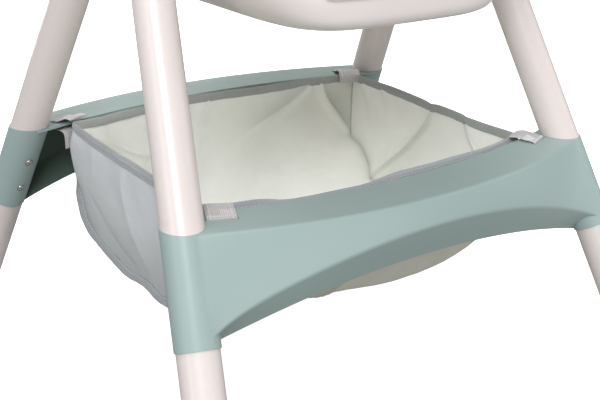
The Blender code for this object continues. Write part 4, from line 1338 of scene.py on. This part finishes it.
def sew_strap(name, ribbon, middle, outward, across):
    """Ribs of thread over a strap's lap, and the teeth of its pinked end."""
    tree = BVHTree.FromObject(ribbon, bpy.context.evaluated_depsgraph_get())
    rib = [(-0.0006, -0.0002), (0.0006, -0.0002), (0.0004, 0.0003), (0.0, 0.0005), (-0.0004, 0.0003)]
    sewn = []
    for k in range(8):
        share = -0.92 + 0.13 * k
        points = []
        for reach in (-0.0150, -0.0120, -0.0090, -0.0060, -0.0035):
            spot = middle + across * (STRAP_HALF * share) + outward * reach
            hit = tree.ray_cast(spot + Vector((0, 0, 0.03)), Vector((0, 0, -1)))[0]
            points.append((hit or spot) + Vector((0, 0, 0.0001)))
        sewn.append(strip("rib", points, [across] * len(points), rib, "fringe"))
    for k in range(15):
        share = -0.97 + 1.94 * (k + 0.5) / 15
        spot = middle + across * (STRAP_HALF * share) - outward * 0.0012 + Vector((0, 0, 0.0022))
        points = [spot - outward * 0.0016, spot, spot + outward * 0.0017 - Vector((0, 0, 0.0006))]
        rings = [[point + across * (wide * p) + Vector((0, 0, 0.0004 * q)) for p, q in SQUARE]
                 for point, wide in zip(points, (0.00085, 0.0008, 0.0001))]
        sewn.append(loft("tooth", rings, "fringe"))
    stand_for(merged(f"strap_stitches_{name}", sewn), "root", slot="strap_webbing")


def make_strap(side, end, name):
    """A satin ribbon: over the flange, through the slot and back, with a stitched lap and a pinked end."""
    middle, outward, across = strap_frame(side, end)
    route = STRAP_ROUTE
    if (side, end) == (1, 1):
        route = ((-0.0400, -0.0060), (-0.0380, 0.0030), (-0.0340, 0.0072), (-0.0290, 0.0086)) + route[1:]
    if end == -1:
        route = ((-0.0315, 0.0030), (-0.0225, 0.0040), (-0.0165, 0.0032)) + route[3:]
    line = curve_through([middle + outward * a + Vector((0, 0, b)) for a, b in route], 90)
    half, thick = STRAP_HALF, 0.0005
    section = [(-half, -thick * 0.4), (-half * 0.97, -thick), (half * 0.97, -thick), (half, -thick * 0.4),
               (half, thick * 0.4), (half * 0.97, thick), (0, thick), (-half * 0.97, thick),
               (-half, thick * 0.4)]
    ribbon = strip(f"strap_{name}", line, [across] * len(line), section, "ribbon")
    for vertex in ribbon.data.vertices:
        share = (vertex.co - middle).dot(across) / half
        lift = smoothstep(-0.004, -0.012, (vertex.co - middle).dot(outward))
        lift *= smoothstep(-0.004, 0.002, vertex.co.z - TOP_Z)
        crumple = 0.0012 * wobble(vertex.co, 90.0, side + 3 * end)
        vertex.co.z += lift * (crumple + 0.0010 * (1 - share * share))
    sew_strap(name, ribbon, middle, outward, across)
    stand_for(ribbon, "root", f"basket_strap_{name}", slot="strap_webbing")


# ---------------------------------------------------------------- tub seat
SEAT_Z, SEAT_FRONT_Z, SEAT_ARM_Z, SEAT_BACK_Z = 0.458, 0.492, 0.655, 0.980
SEAT_WALL, CUSHION_GAP, CUSHION_THICK = 0.0035, 0.0030, 0.016
TUB_SQUARENESS = 0.43
RIM_BEND = 2.2                         # how late the levels of the mesh bend up to the rim
HUB_Z, BOLT_BORE = 0.606, 0.0045       # the bolts' height and their holes' radius
HARNESS_X, HARNESS_Z = 0.033, 0.790    # the shoulder straps' slots
# The shell's outer size at a height, as (z, size) rows.
TUB_HALF_WIDTH = (
    (0.458, 0.128), (0.461, 0.137), (0.468, 0.146), (0.482, 0.156), (0.500, 0.164),
    (0.550, 0.175), (0.640, 0.180), (0.700, 0.178), (0.850, 0.165), (0.980, 0.150),
)
TUB_FRONT = (
    (0.458, -0.202), (0.461, -0.207), (0.468, -0.211), (0.492, -0.214), (0.655, -0.200), (0.980, -0.190),
)
TUB_BACK = (
    (0.458, 0.104), (0.461, 0.114), (0.468, 0.122), (0.500, 0.132), (0.655, 0.164), (0.980, 0.242),
)


def read_table(table, z):
    """A table's size at a height, with its bends eased."""
    places, sizes = zip(*table)
    window = min(0.012, max(0.0, (z - SEAT_Z) * 0.3))
    return float(np.mean(np.interp(np.linspace(z - window, z + window, 7), places, sizes)))


def tub_rim_z(turn):
    """The height of the shell's rim at a turn from the front, 0, to the back, pi."""
    turn = abs(turn)
    arm = SEAT_FRONT_Z + (SEAT_ARM_Z - SEAT_FRONT_Z) * smoothstep(0.42, 1.05, turn)
    return arm + (SEAT_BACK_Z - SEAT_ARM_Z) * smoothstep(1.75, 2.62, turn)


def tub_point(turn, z, inset):
    """A point of the shell at a turn and a height, inset from its outer face."""
    half = read_table(TUB_HALF_WIDTH, z) - inset
    front = read_table(TUB_FRONT, z) + inset
    back = read_table(TUB_BACK, z) - inset
    across = squared(math.sin(turn), TUB_SQUARENESS)
    lengthwise = -squared(math.cos(turn), TUB_SQUARENESS)
    return Vector((half * across, (front + back) / 2 + (back - front) / 2 * lengthwise, z))


def even_turns(count):
    """Turns round the tub whose points are evenly spaced."""
    turns = np.linspace(-math.pi, math.pi, 40001)
    x = np.sign(np.sin(turns)) * np.abs(np.sin(turns)) ** TUB_SQUARENESS
    y = np.sign(np.cos(turns)) * np.abs(np.cos(turns)) ** TUB_SQUARENESS
    far = np.concatenate([[0], np.cumsum(np.hypot(np.diff(x), np.diff(y)))])
    return np.interp((np.arange(count) + 0.5) / count * far[-1], far, turns)


def tub_stack(inset, levels, turns, extra=None):
    """Rings from the middle of the tub's floor to its rim. extra(turn, share) moves a point (out, up)."""
    stack = []
    floor_z = SEAT_Z + inset
    foot = [tub_point(t, SEAT_Z, inset) for t in turns]
    middle_y = sum(p.y for p in foot) / len(foot)
    for share in (0.02, 0.25, 0.5, 0.75, 0.9):
        stack.append([Vector((p.x * share, middle_y + (p.y - middle_y) * share, floor_z)) for p in foot])
    for share in levels:
        ring = []
        for t in turns:
            low_rise = (SEAT_FRONT_Z - SEAT_Z - inset) * share
            z = floor_z + low_rise + (tub_rim_z(t) - SEAT_FRONT_Z) * share ** RIM_BEND
            out, up = extra(t, share) if extra else (0.0, 0.0)
            point = tub_point(t, z - inset * (1 - share), inset - out)
            point.z = z + up
            ring.append(point)
        stack.append(ring)
    return stack


TUB_LEVELS = (0.0, 0.04, 0.09, 0.15, 0.22, 0.3, 0.4, 0.5, 0.6, 0.7, 0.8, 0.88, 0.94, 0.97)


def make_tub():
    """The moulded shell: a rolled rim, bolt holes and harness slots with soft edges."""
    turns = even_turns(176)

    def rolled(_, share):
        return 0.0022 * smoothstep(0.90, 1.0, share), 0.0

    outside = tub_stack(0.0, TUB_LEVELS + (1.0,), turns, rolled)
    inside = tub_stack(SEAT_WALL, TUB_LEVELS + (1.0,), turns)
    crown = [[a.lerp(b, t) + Vector((0, 0, 0.0011)) for a, b in zip(outside[-1], inside[-1])]
             for t in (0.3, 0.7)]
    tub = loft("seat_shell", outside + crown + inside[::-1], "seat", smooth_deg=40)
    cuts = []
    for side, _ in SIDES:
        cuts.append(drill("hole", (side * 0.16, 0, HUB_Z), (side, 0, 0), BOLT_BORE, (0, 0.05), "seat"))
        corners = [(side * HARNESS_X + 0.0125 * p, HARNESS_Z + 0.0040 * q) for p, q in
                   ((-1, -0.5), (-0.9, -1), (0.9, -1), (1, -0.5), (1, 0.5), (0.9, 1), (-0.9, 1), (-1, 0.5))]
        cuts.append(slab("slot", corners, (0.15, 0.30), "seat", upright=False))
    carve(tub, cuts, 40, 0.0006, 50)
    stand_for(tub, "root", "seat_tub", slot="seat_plastic")


# ---------------------------------------------------------------- cushion
PANEL_HALF = 0.088       # sewn line between the middle panel and the wings
BACK_CHANNELS = (0.600, 0.672, 0.744, 0.836, 0.902)
SEAT_CHANNELS = (-0.135, -0.060, 0.020)
PIPING_RADIUS = 0.0019
FRONT_LIFT = 0.009       # how far the cushion stands above the tub's front lip


def channel_depth(point, normal):
    """How deep the sewing pulls the cushion's face in at a point: channels across the seat and the back."""
    if normal.y < -0.25 and point.y > 0.02:
        lines = [abs(point.z - z) for z in BACK_CHANNELS if abs(point.x) < PANEL_HALF]
        lines.append(abs(abs(point.x) - PANEL_HALF) if 0.52 < point.z < 0.94 else 9.0)
    elif normal.z > 0.5 and point.z < 0.53:
        lines = [abs(point.y - y) for y in SEAT_CHANNELS if abs(point.x) < PANEL_HALF]
        lines.append(abs(abs(point.x) - PANEL_HALF) if -0.19 < point.y < 0.09 else 9.0)
    else:
        return 0.0
    near = min(lines)
    return 0.0042 * math.exp(-(near / 0.0042) ** 2) + 0.0022 * math.exp(-(near / 0.014) ** 2)


def swell(obj, pressure, cap):
    """Blows a closed mesh up a little with Blender's cloth, and bakes it. No point moves beyond cap."""
    start = np.array([v.co for v in obj.data.vertices])
    cloth = obj.modifiers.new("swell", "CLOTH")
    settings = cloth.settings
    settings.quality = 6
    settings.mass = 0.25
    settings.tension_stiffness = settings.compression_stiffness = 18
    settings.shear_stiffness = 8
    settings.bending_stiffness = 1.2
    settings.use_pressure = True
    settings.uniform_pressure_force = pressure
    settings.effector_weights.gravity = 0.0
    cloth.point_cache.frame_start, cloth.point_cache.frame_end = 1, 20
    scene = bpy.context.scene
    for step in range(1, 21):
        scene.frame_set(step)
    apply_modifiers(obj)
    scene.frame_set(1)
    end = np.array([v.co for v in obj.data.vertices])
    move = end - start
    far = np.linalg.norm(move, axis=1)
    share = np.where(far > cap, cap / np.maximum(far, 1e-9), 1.0)
    obj.data.vertices.foreach_set("co", (start + move * share[:, None]).ravel())
    obj.data.update()


def make_cushion():
    """A pad that lines the tub: remeshed, swollen by simulation, then sewn down in channels."""
    turns = even_turns(120)
    levels = (0.0, 0.08, 0.2, 0.35, 0.5, 0.65, 0.8, 0.9, 0.95)

    def proud(turn, share):
        return 0.0, FRONT_LIFT * smoothstep(0.6, 0.95, share) * smoothstep(0.75, 0.40, abs(turn))

    under = SEAT_WALL + CUSHION_GAP
    back = tub_stack(under + 0.0012, levels, turns, proud)
    face = tub_stack(under + CUSHION_THICK - 0.0030, levels, turns, proud)
    cushion = loft("cushion", back + face[::-1], "leather")
    slots = []
    for side, _ in SIDES:
        start = (side * 0.166, 0, HUB_Z)
        slots.append(drill("pocket", start, (side, 0, 0), 0.012, (-0.003, 0.05), "leather", 24))
        corners = [(side * HARNESS_X + 0.0135 * p, HARNESS_Z + 0.006 * q) for p, q in SQUARE]
        slots.append(slab("slot", corners, (0.10, 0.30), "leather", upright=False))
    combine(cushion, slots)
    remesh = cushion.modifiers.new("remesh", "REMESH")
    remesh.mode = "VOXEL"
    remesh.voxel_size = 0.0055
    apply_modifiers(cushion)
    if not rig.quick():
        swell(cushion, 4.0, 0.0045)
    smooth = cushion.modifiers.new("even", "SMOOTH")
    smooth.factor, smooth.iterations = 0.5, 4
    cushion.modifiers.new("finer", "SUBSURF").levels = 1
    apply_modifiers(cushion)
    mesh = cushion.data
    moved = []
    for vertex in mesh.vertices:
        inwards = channel_depth(vertex.co, vertex.normal)
        soft = 0.0008 * wobble(vertex.co, 16.0, 2.0) + 0.0004 * wobble(vertex.co, 42.0, 6.0)
        moved.append(vertex.co + vertex.normal * (soft - inwards))
    for vertex, place in zip(mesh.vertices, moved):
        vertex.co = place
    resmooth(cushion, 60)
    mesh.materials.clear()
    mesh.materials.append(MATERIALS["leather"])
    stand_for(cushion, "root", "seat_cushion", slot="cushion_leather")
    make_piping(turns)
    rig.padded(cushion, fill=0.6)


def make_piping(turns):
    """Piping sewn round the cushion's upper edge."""
    under = SEAT_WALL + CUSHION_GAP + CUSHION_THICK / 2
    line = []
    for t in turns:
        z = SEAT_Z + (SEAT_FRONT_Z - SEAT_Z) * 0.95 + (tub_rim_z(t) - SEAT_FRONT_Z) * 0.95 ** RIM_BEND
        point = tub_point(t, z, under)
        point.z = z + FRONT_LIFT * smoothstep(0.75, 0.40, abs(t)) + 0.0012
        line.append(point)
    steps = [math.tau * k / 10 for k in range(10)]
    circle = [(PIPING_RADIUS * math.cos(t), PIPING_RADIUS * math.sin(t)) for t in steps]
    piping = strip("cushion_piping", line, [Vector((0, 0, 1))] * len(line), circle, "seam", closed=True)
    stand_for(piping, "root", slot="cushion_leather")


# ---------------------------------------------------------------- harness and buckle
CUSHION_INSET = SEAT_WALL + CUSHION_GAP + CUSHION_THICK
PAD_Z = SEAT_Z + CUSHION_INSET
BUCKLE_Y = -0.030


def back_pad_y(z):
    """Where the cushion's face lies on the seat's back, at a height."""
    return float(np.interp(z, *zip(*TUB_BACK))) - CUSHION_INSET


def webbing(name, points, across, width, thick=0.0009):
    """A band of harness webbing through points, a little uneven."""
    line = curve_through(points, 70)
    half = width / 2
    section = [(-half, 0.0), (-half * 0.96, -thick), (0, -thick), (half * 0.96, -thick), (half, 0.0),
               (half * 0.96, thick), (0, thick), (-half * 0.96, thick)]
    band = strip(name, line, [Vector(across)] * len(line), section, "harness")
    for vertex in band.data.vertices:
        vertex.co += Vector((0, 0.3, 1)) * (0.0005 * wobble(vertex.co, 40.0, 3.0))
    return band


def make_harness():
    """Five straps of webbing that lie on the cushion and meet in the buckle."""
    for side, label in SIDES:
        top = back_pad_y(HARNESS_Z)
        points = [(side * HARNESS_X, top + 0.0120, HARNESS_Z), (side * HARNESS_X, top - 0.0035, HARNESS_Z)]
        rows = [(0.778, 0.033), (0.700, 0.034), (0.640, 0.034), (0.590, 0.032), (0.550, 0.028)]
        points += [(side * x, back_pad_y(z) - 0.0065, z) for z, x in rows]
        points += [(side * 0.024, 0.080, PAD_Z + 0.026), (side * 0.018, 0.045, PAD_Z + 0.014),
                   (side * 0.0140, BUCKLE_Y + 0.0180, PAD_Z + 0.0090)]
        shoulder = webbing(f"harness_shoulder_strap_{label}", points, (1, 0, 0), 0.0192)
        stand_for(shoulder, "root", f"harness_shoulder_{label}", slot="harness_webbing")
        waist = [(side * 0.113, 0.033, PAD_Z - 0.0140), (side * 0.107, 0.026, PAD_Z + 0.0015),
                 (side * 0.088, 0.011, PAD_Z + 0.0052), (side * 0.060, -0.012, PAD_Z + 0.0050),
                 (side * 0.0200, BUCKLE_Y, PAD_Z + 0.0090)]
        belt = webbing(f"harness_waist_strap_{label}", waist, (side * 0.42, 0.9, 0), 0.024)
        stand_for(belt, "root", f"harness_waist_{label}", slot="harness_webbing")
    crotch = [(0, -0.127, PAD_Z - 0.0040), (0, -0.119, PAD_Z + 0.0020), (0, -0.095, PAD_Z + 0.0035),
              (0, -0.070, PAD_Z + 0.0055), (0, BUCKLE_Y - 0.0180, PAD_Z + 0.0090)]
    stand_for(webbing("harness_crotch_strap", crotch, (1, 0, 0), 0.024), "root", "harness_crotch",
              slot="harness_webbing")


def rounded_slab(name, middle, half, corner, levels, material, count=64):
    """A slab with a rounded outline. levels hold (inset, z) rows from its underside up."""
    rings = [[Vector((x, y, z)) for x, y in squared_ring(middle, half, inset, corner, count)]
             for inset, z in levels]
    return loft(name, rings, material, smooth_deg=50)


def make_buckle():
    """The buckle's rounded body with two grooves, and the button in its pocket."""
    low, high = PAD_Z + 0.0030, PAD_Z + 0.0150
    levels = ((0.0025, low), (0.0006, low + 0.0010), (0.0, low + 0.0026), (0.0, high - 0.0045),
              (0.0010, high - 0.0018), (0.0034, high - 0.0004), (0.0060, high), (0.0110, high - 0.0002))
    body = rounded_slab("buckle", (0, BUCKLE_Y), (0.021, 0.019), 0.5, levels, "buckle", 72)
    start = (0, BUCKLE_Y, PAD_Z + 0.0090)
    cuts = [drill("pocket", start, (0, 0, 1), 0.0085, (0, 0.02), "buckle", 48)]
    for reach in (-0.0145, 0.0145):
        corners = [(0.010 * p, BUCKLE_Y + reach + 0.0006 * q) for p, q in SQUARE]
        cuts.append(slab("groove", corners, (high - 0.0016, high + 0.002), "buckle"))
    carve(body, cuts, 40, 0.0004, 50)
    stand_for(body, "root", "buckle_body", slot="buckle_plastic")
    base = PAD_Z + 0.0122              # the button's underside
    profile = [(0, 0.0070), (0.0004, 0.0078), (0.0028, 0.0078), (0.0036, 0.0072), (0.0040, 0.0062),
               (0.0037, 0.0046), (0.0034, 0.0024), (0.0034, 0.0003)]
    button = turned("buckle_press_button", (0, BUCKLE_Y, base), (0, 0, 1), profile, "hub", 48)
    stand_for(button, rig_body("buckle_button"), "buckle_button", slot="hub_plastic")


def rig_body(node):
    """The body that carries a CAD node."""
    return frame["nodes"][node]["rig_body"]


# ---------------------------------------------------------------- hubs, tray and armrests
def make_hubs():
    """The moulded hubs: a domed rim, sockets for the two legs and a recess for the bolt."""
    for side, label in SIDES:
        step, width = 0.0067, 0.0557
        profile = [(0, 0.0188), (0.0010, 0.0200), (step - 0.0008, 0.0202), (step, 0.0212), (step, 0.0345),
                   (step + 0.0015, 0.0358), (step + 0.0030, 0.0360), (width - 0.0060, 0.0360),
                   (width - 0.0030, 0.0352), (width - 0.0010, 0.0335), (width, 0.0312), (width, 0.0280),
                   (width - 0.0010, 0.0268), (width - 0.0010, 0.0215), (width, 0.0205), (width, 0.0195)]
        way = (side, 0, 0)
        hub = turned(f"hub_{label}", (side * 0.1803, 0, HUB_Z), way, profile, "hub", 72)
        sockets, cuts = [], []
        for end, _ in ENDS:
            start, run = leg_line(side, end)
            rings = [ring_round(start, run, z, r, False, 72) for z, r in
                     ((0.540, 0.0233), (0.5408, 0.0242), (0.5422, 0.0245), (0.602, 0.0245))]
            sockets.append(loft("socket", rings, "hub"))
            bore = [ring_round(start, run, z, 0.0199, False, 72) for z in (0.50, 0.5726)]
            cuts.append(loft("bore", bore, "hub"))
        cuts.append(drill("recess", (side * 0.229, 0, HUB_Z), way, 0.0185, (0, 0.03), "hub", 64))
        cuts.append(drill("hole", (side * 0.13, 0, HUB_Z), way, BOLT_BORE, (0, 0.12), "hub"))
        carve(hub, cuts, 35, 0.0007, 45, sockets)
        stand_for(hub, "root", f"leg_hub_{label}", slot="hub_plastic")
        dome = [(0, 0.0172), (0.0002, 0.0181), (0.0014, 0.0181), (0.0024, 0.0174), (0.0031, 0.0158),
                (0.0035, 0.0130), (0.0036, 0.0100), (0.0030, 0.0094), (0.0030, 0.0086), (0.0036, 0.0080),
                (0.0037, 0.0040), (0.0037, 0.0003)]
        cap = turned(f"cap_{label}", (side * 0.2342, 0, HUB_Z), way, dome, "seat", 64, 50)
        stand_for(cap, "root", f"hub_cap_{label}", slot="seat_plastic")


TRAY_Z, TRAY_HALF_X, TRAY_Y = 0.6870, 0.238, (-0.350, -0.046)
TRAY_SQUARENESS, BELLY_NOTCH = 0.55, 0.050


def tray_ring(inset, z, count=160):
    """The tray's outline, inset, at a height: squarish, with a hollow for the belly."""
    half = TRAY_HALF_X - inset
    front, back = TRAY_Y[0] + inset, TRAY_Y[1] - inset
    fine = []
    for k in range(count * 12):
        turn = math.tau * (k + 0.5) / (count * 12)
        lengthwise = -squared(math.cos(turn), TRAY_SQUARENESS)
        x = half * squared(math.sin(turn), TRAY_SQUARENESS)
        y = (front + back) / 2 + (back - front) / 2 * lengthwise
        if lengthwise > 0:
            y -= BELLY_NOTCH * math.exp(-(x / 0.105) ** 2) * lengthwise
        fine.append((x, y, z))
    fine.append(fine[0])
    return [Vector(p) for p in spaced(np.array(fine), count)[:-1]]


def dish(name, outer, inner, material):
    """A shallow dish. outer and inner hold (inset, z) rows from the floor's edge up to the rim."""
    rings = []
    for rows, order in ((outer, 1), (inner, -1)):
        edge = tray_ring(*rows[0])
        middle = sum(edge, Vector()) / len(edge)
        floor = [[middle + (p - middle) * share for p in edge] for share in (0.03, 0.3, 0.6, 0.85)]
        stack = floor + [tray_ring(*row) for row in rows]
        rings += stack[::order]
    return loft(name, rings, material, smooth_deg=50)


def above_tray(rows):
    """(inset, height) rows in millimetres as (inset, z) rows in metres."""
    return [(inset, TRAY_Z + height) for inset, height in metres(rows)]


def make_tray():
    """The tray with a rolled rim, and the liner that rests on it."""
    outside = above_tray(((12.5, 0), (8, 0.6), (4, 2.8), (1.2, 6.4), (0, 11), (0, 20.5), (0.6, 23.5),
                          (2.2, 24.8), (4, 25)))
    inside = above_tray(((24.5, 5), (21.5, 6), (18, 10), (11, 21.5), (9.2, 24.3), (7, 25)))
    base = dish("tray", outside, inside, "seat")
    stand_for(base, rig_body("tray_base"), "tray_base", slot="seat_plastic")
    outside = above_tray(((31, 5.6), (26.5, 6.6), (22.5, 10), (13.7, 23.2), (12.2, 25.4), (11, 25.8),
                          (2.2, 25.8), (1, 26.2), (0.8, 27.2)))
    inside = above_tray(((36.5, 8.5), (32.5, 9.2), (27, 12.2), (19, 25.5), (17.2, 27.8), (15, 28.6),
                         (5, 28.6), (2, 28.2)))
    liner = dish("tray_liner_dish", outside, inside, "liner")
    stand_for(liner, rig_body("tray_insert"), "tray_insert", slot="tray_liner")


def make_armrests():
    """Armrest pads with crowned tops."""
    for side, label in SIDES:
        middle = (side * 0.189, -0.081)
        levels = ((0.0016, 0.6555), (0.0003, 0.6561), (0.0, 0.6572), (0.0, 0.6668), (0.0006, 0.6694),
                  (0.0022, 0.6717), (0.0046, 0.6731), (0.0078, 0.6738), (0.0120, 0.6740))
        pad = rounded_slab(f"armrest_pad_{label}", middle, (0.017, 0.077), 0.42, levels, "hub", 96)
        stand_for(pad, "root", f"armrest_{label}", slot="hub_plastic")


def make_tray_buttons():
    """The release buttons in the runners, dished where a thumb presses."""
    for side, label in SIDES:
        name = f"tray_button_{label}"
        low, high = (Vector(c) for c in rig.box(name))
        middle, half = (low + high) / 2, (high - low) / 2
        inner, outer = (low.x, high.x) if side > 0 else (high.x, low.x)
        rings = []
        for share, inset in ((0.0, 0.0006), (0.03, 0.0), (0.70, 0.0), (0.86, 0.0006), (0.95, 0.0016),
                             (1.0, 0.0034), (0.96, 0.0046), (0.93, 0.0060)):
            x = inner + (outer - inner) * share
            rings.append([Vector((x, y, z)) for y, z in squared_ring(middle.yz, half.yz, inset, 0.4, 64)])
        press = loft(f"tray_press_button_{label}", rings, "hub", smooth_deg=50)
        stand_for(press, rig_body(name), name, slot="hub_plastic")


def finish_nodes():
    """The CAD nodes that stay get softer edges and a better material."""
    for start, width, look in (("tray_runner", 0.0012, "seat"), ("seat_bolt", 0.0003, "steel"),
                               ("seat_nut", 0.0004, "steel")):
        for _, label in SIDES:
            node = frame["nodes"][f"{start}_{label}"]
            node.data.materials.clear()
            node.data.materials.append(MATERIALS[look])
            round_edges(node, width, 2, 35)


# ---------------------------------------------------------------- build
make_camera()
make_stage()
make_legs()
for bar_end, bar_label in ENDS:
    make_crossbar(bar_end, bar_label)
make_screws()
basket, long_cloth, left_cloth, right_cloth = make_basket()
rim_binding = make_rim_binding(long_cloth, left_cloth, right_cloth)
seam_tapes = make_seam_tapes(long_cloth)
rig.sheet(basket, flat=(0.77, 0.60), held="hung", rests_on=["crossbar_front", "crossbar_rear"], area=0.33,
         with_pieces=[rim_binding] + seam_tapes)
for strap_side, strap_end, strap_name in CORNERS:
    make_strap(strap_side, strap_end, strap_name)
make_tub()
make_cushion()
make_harness()
make_buckle()
make_hubs()
make_tray()
make_armrests()
make_tray_buttons()
finish_nodes()

with open("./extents.json", "w") as size_file:
    low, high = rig.bounds()
    size_file.write(f'{{"cad": [{list(cad_low)}, {list(cad_high)}], "visual": [{list(low)}, {list(high)}]}}')
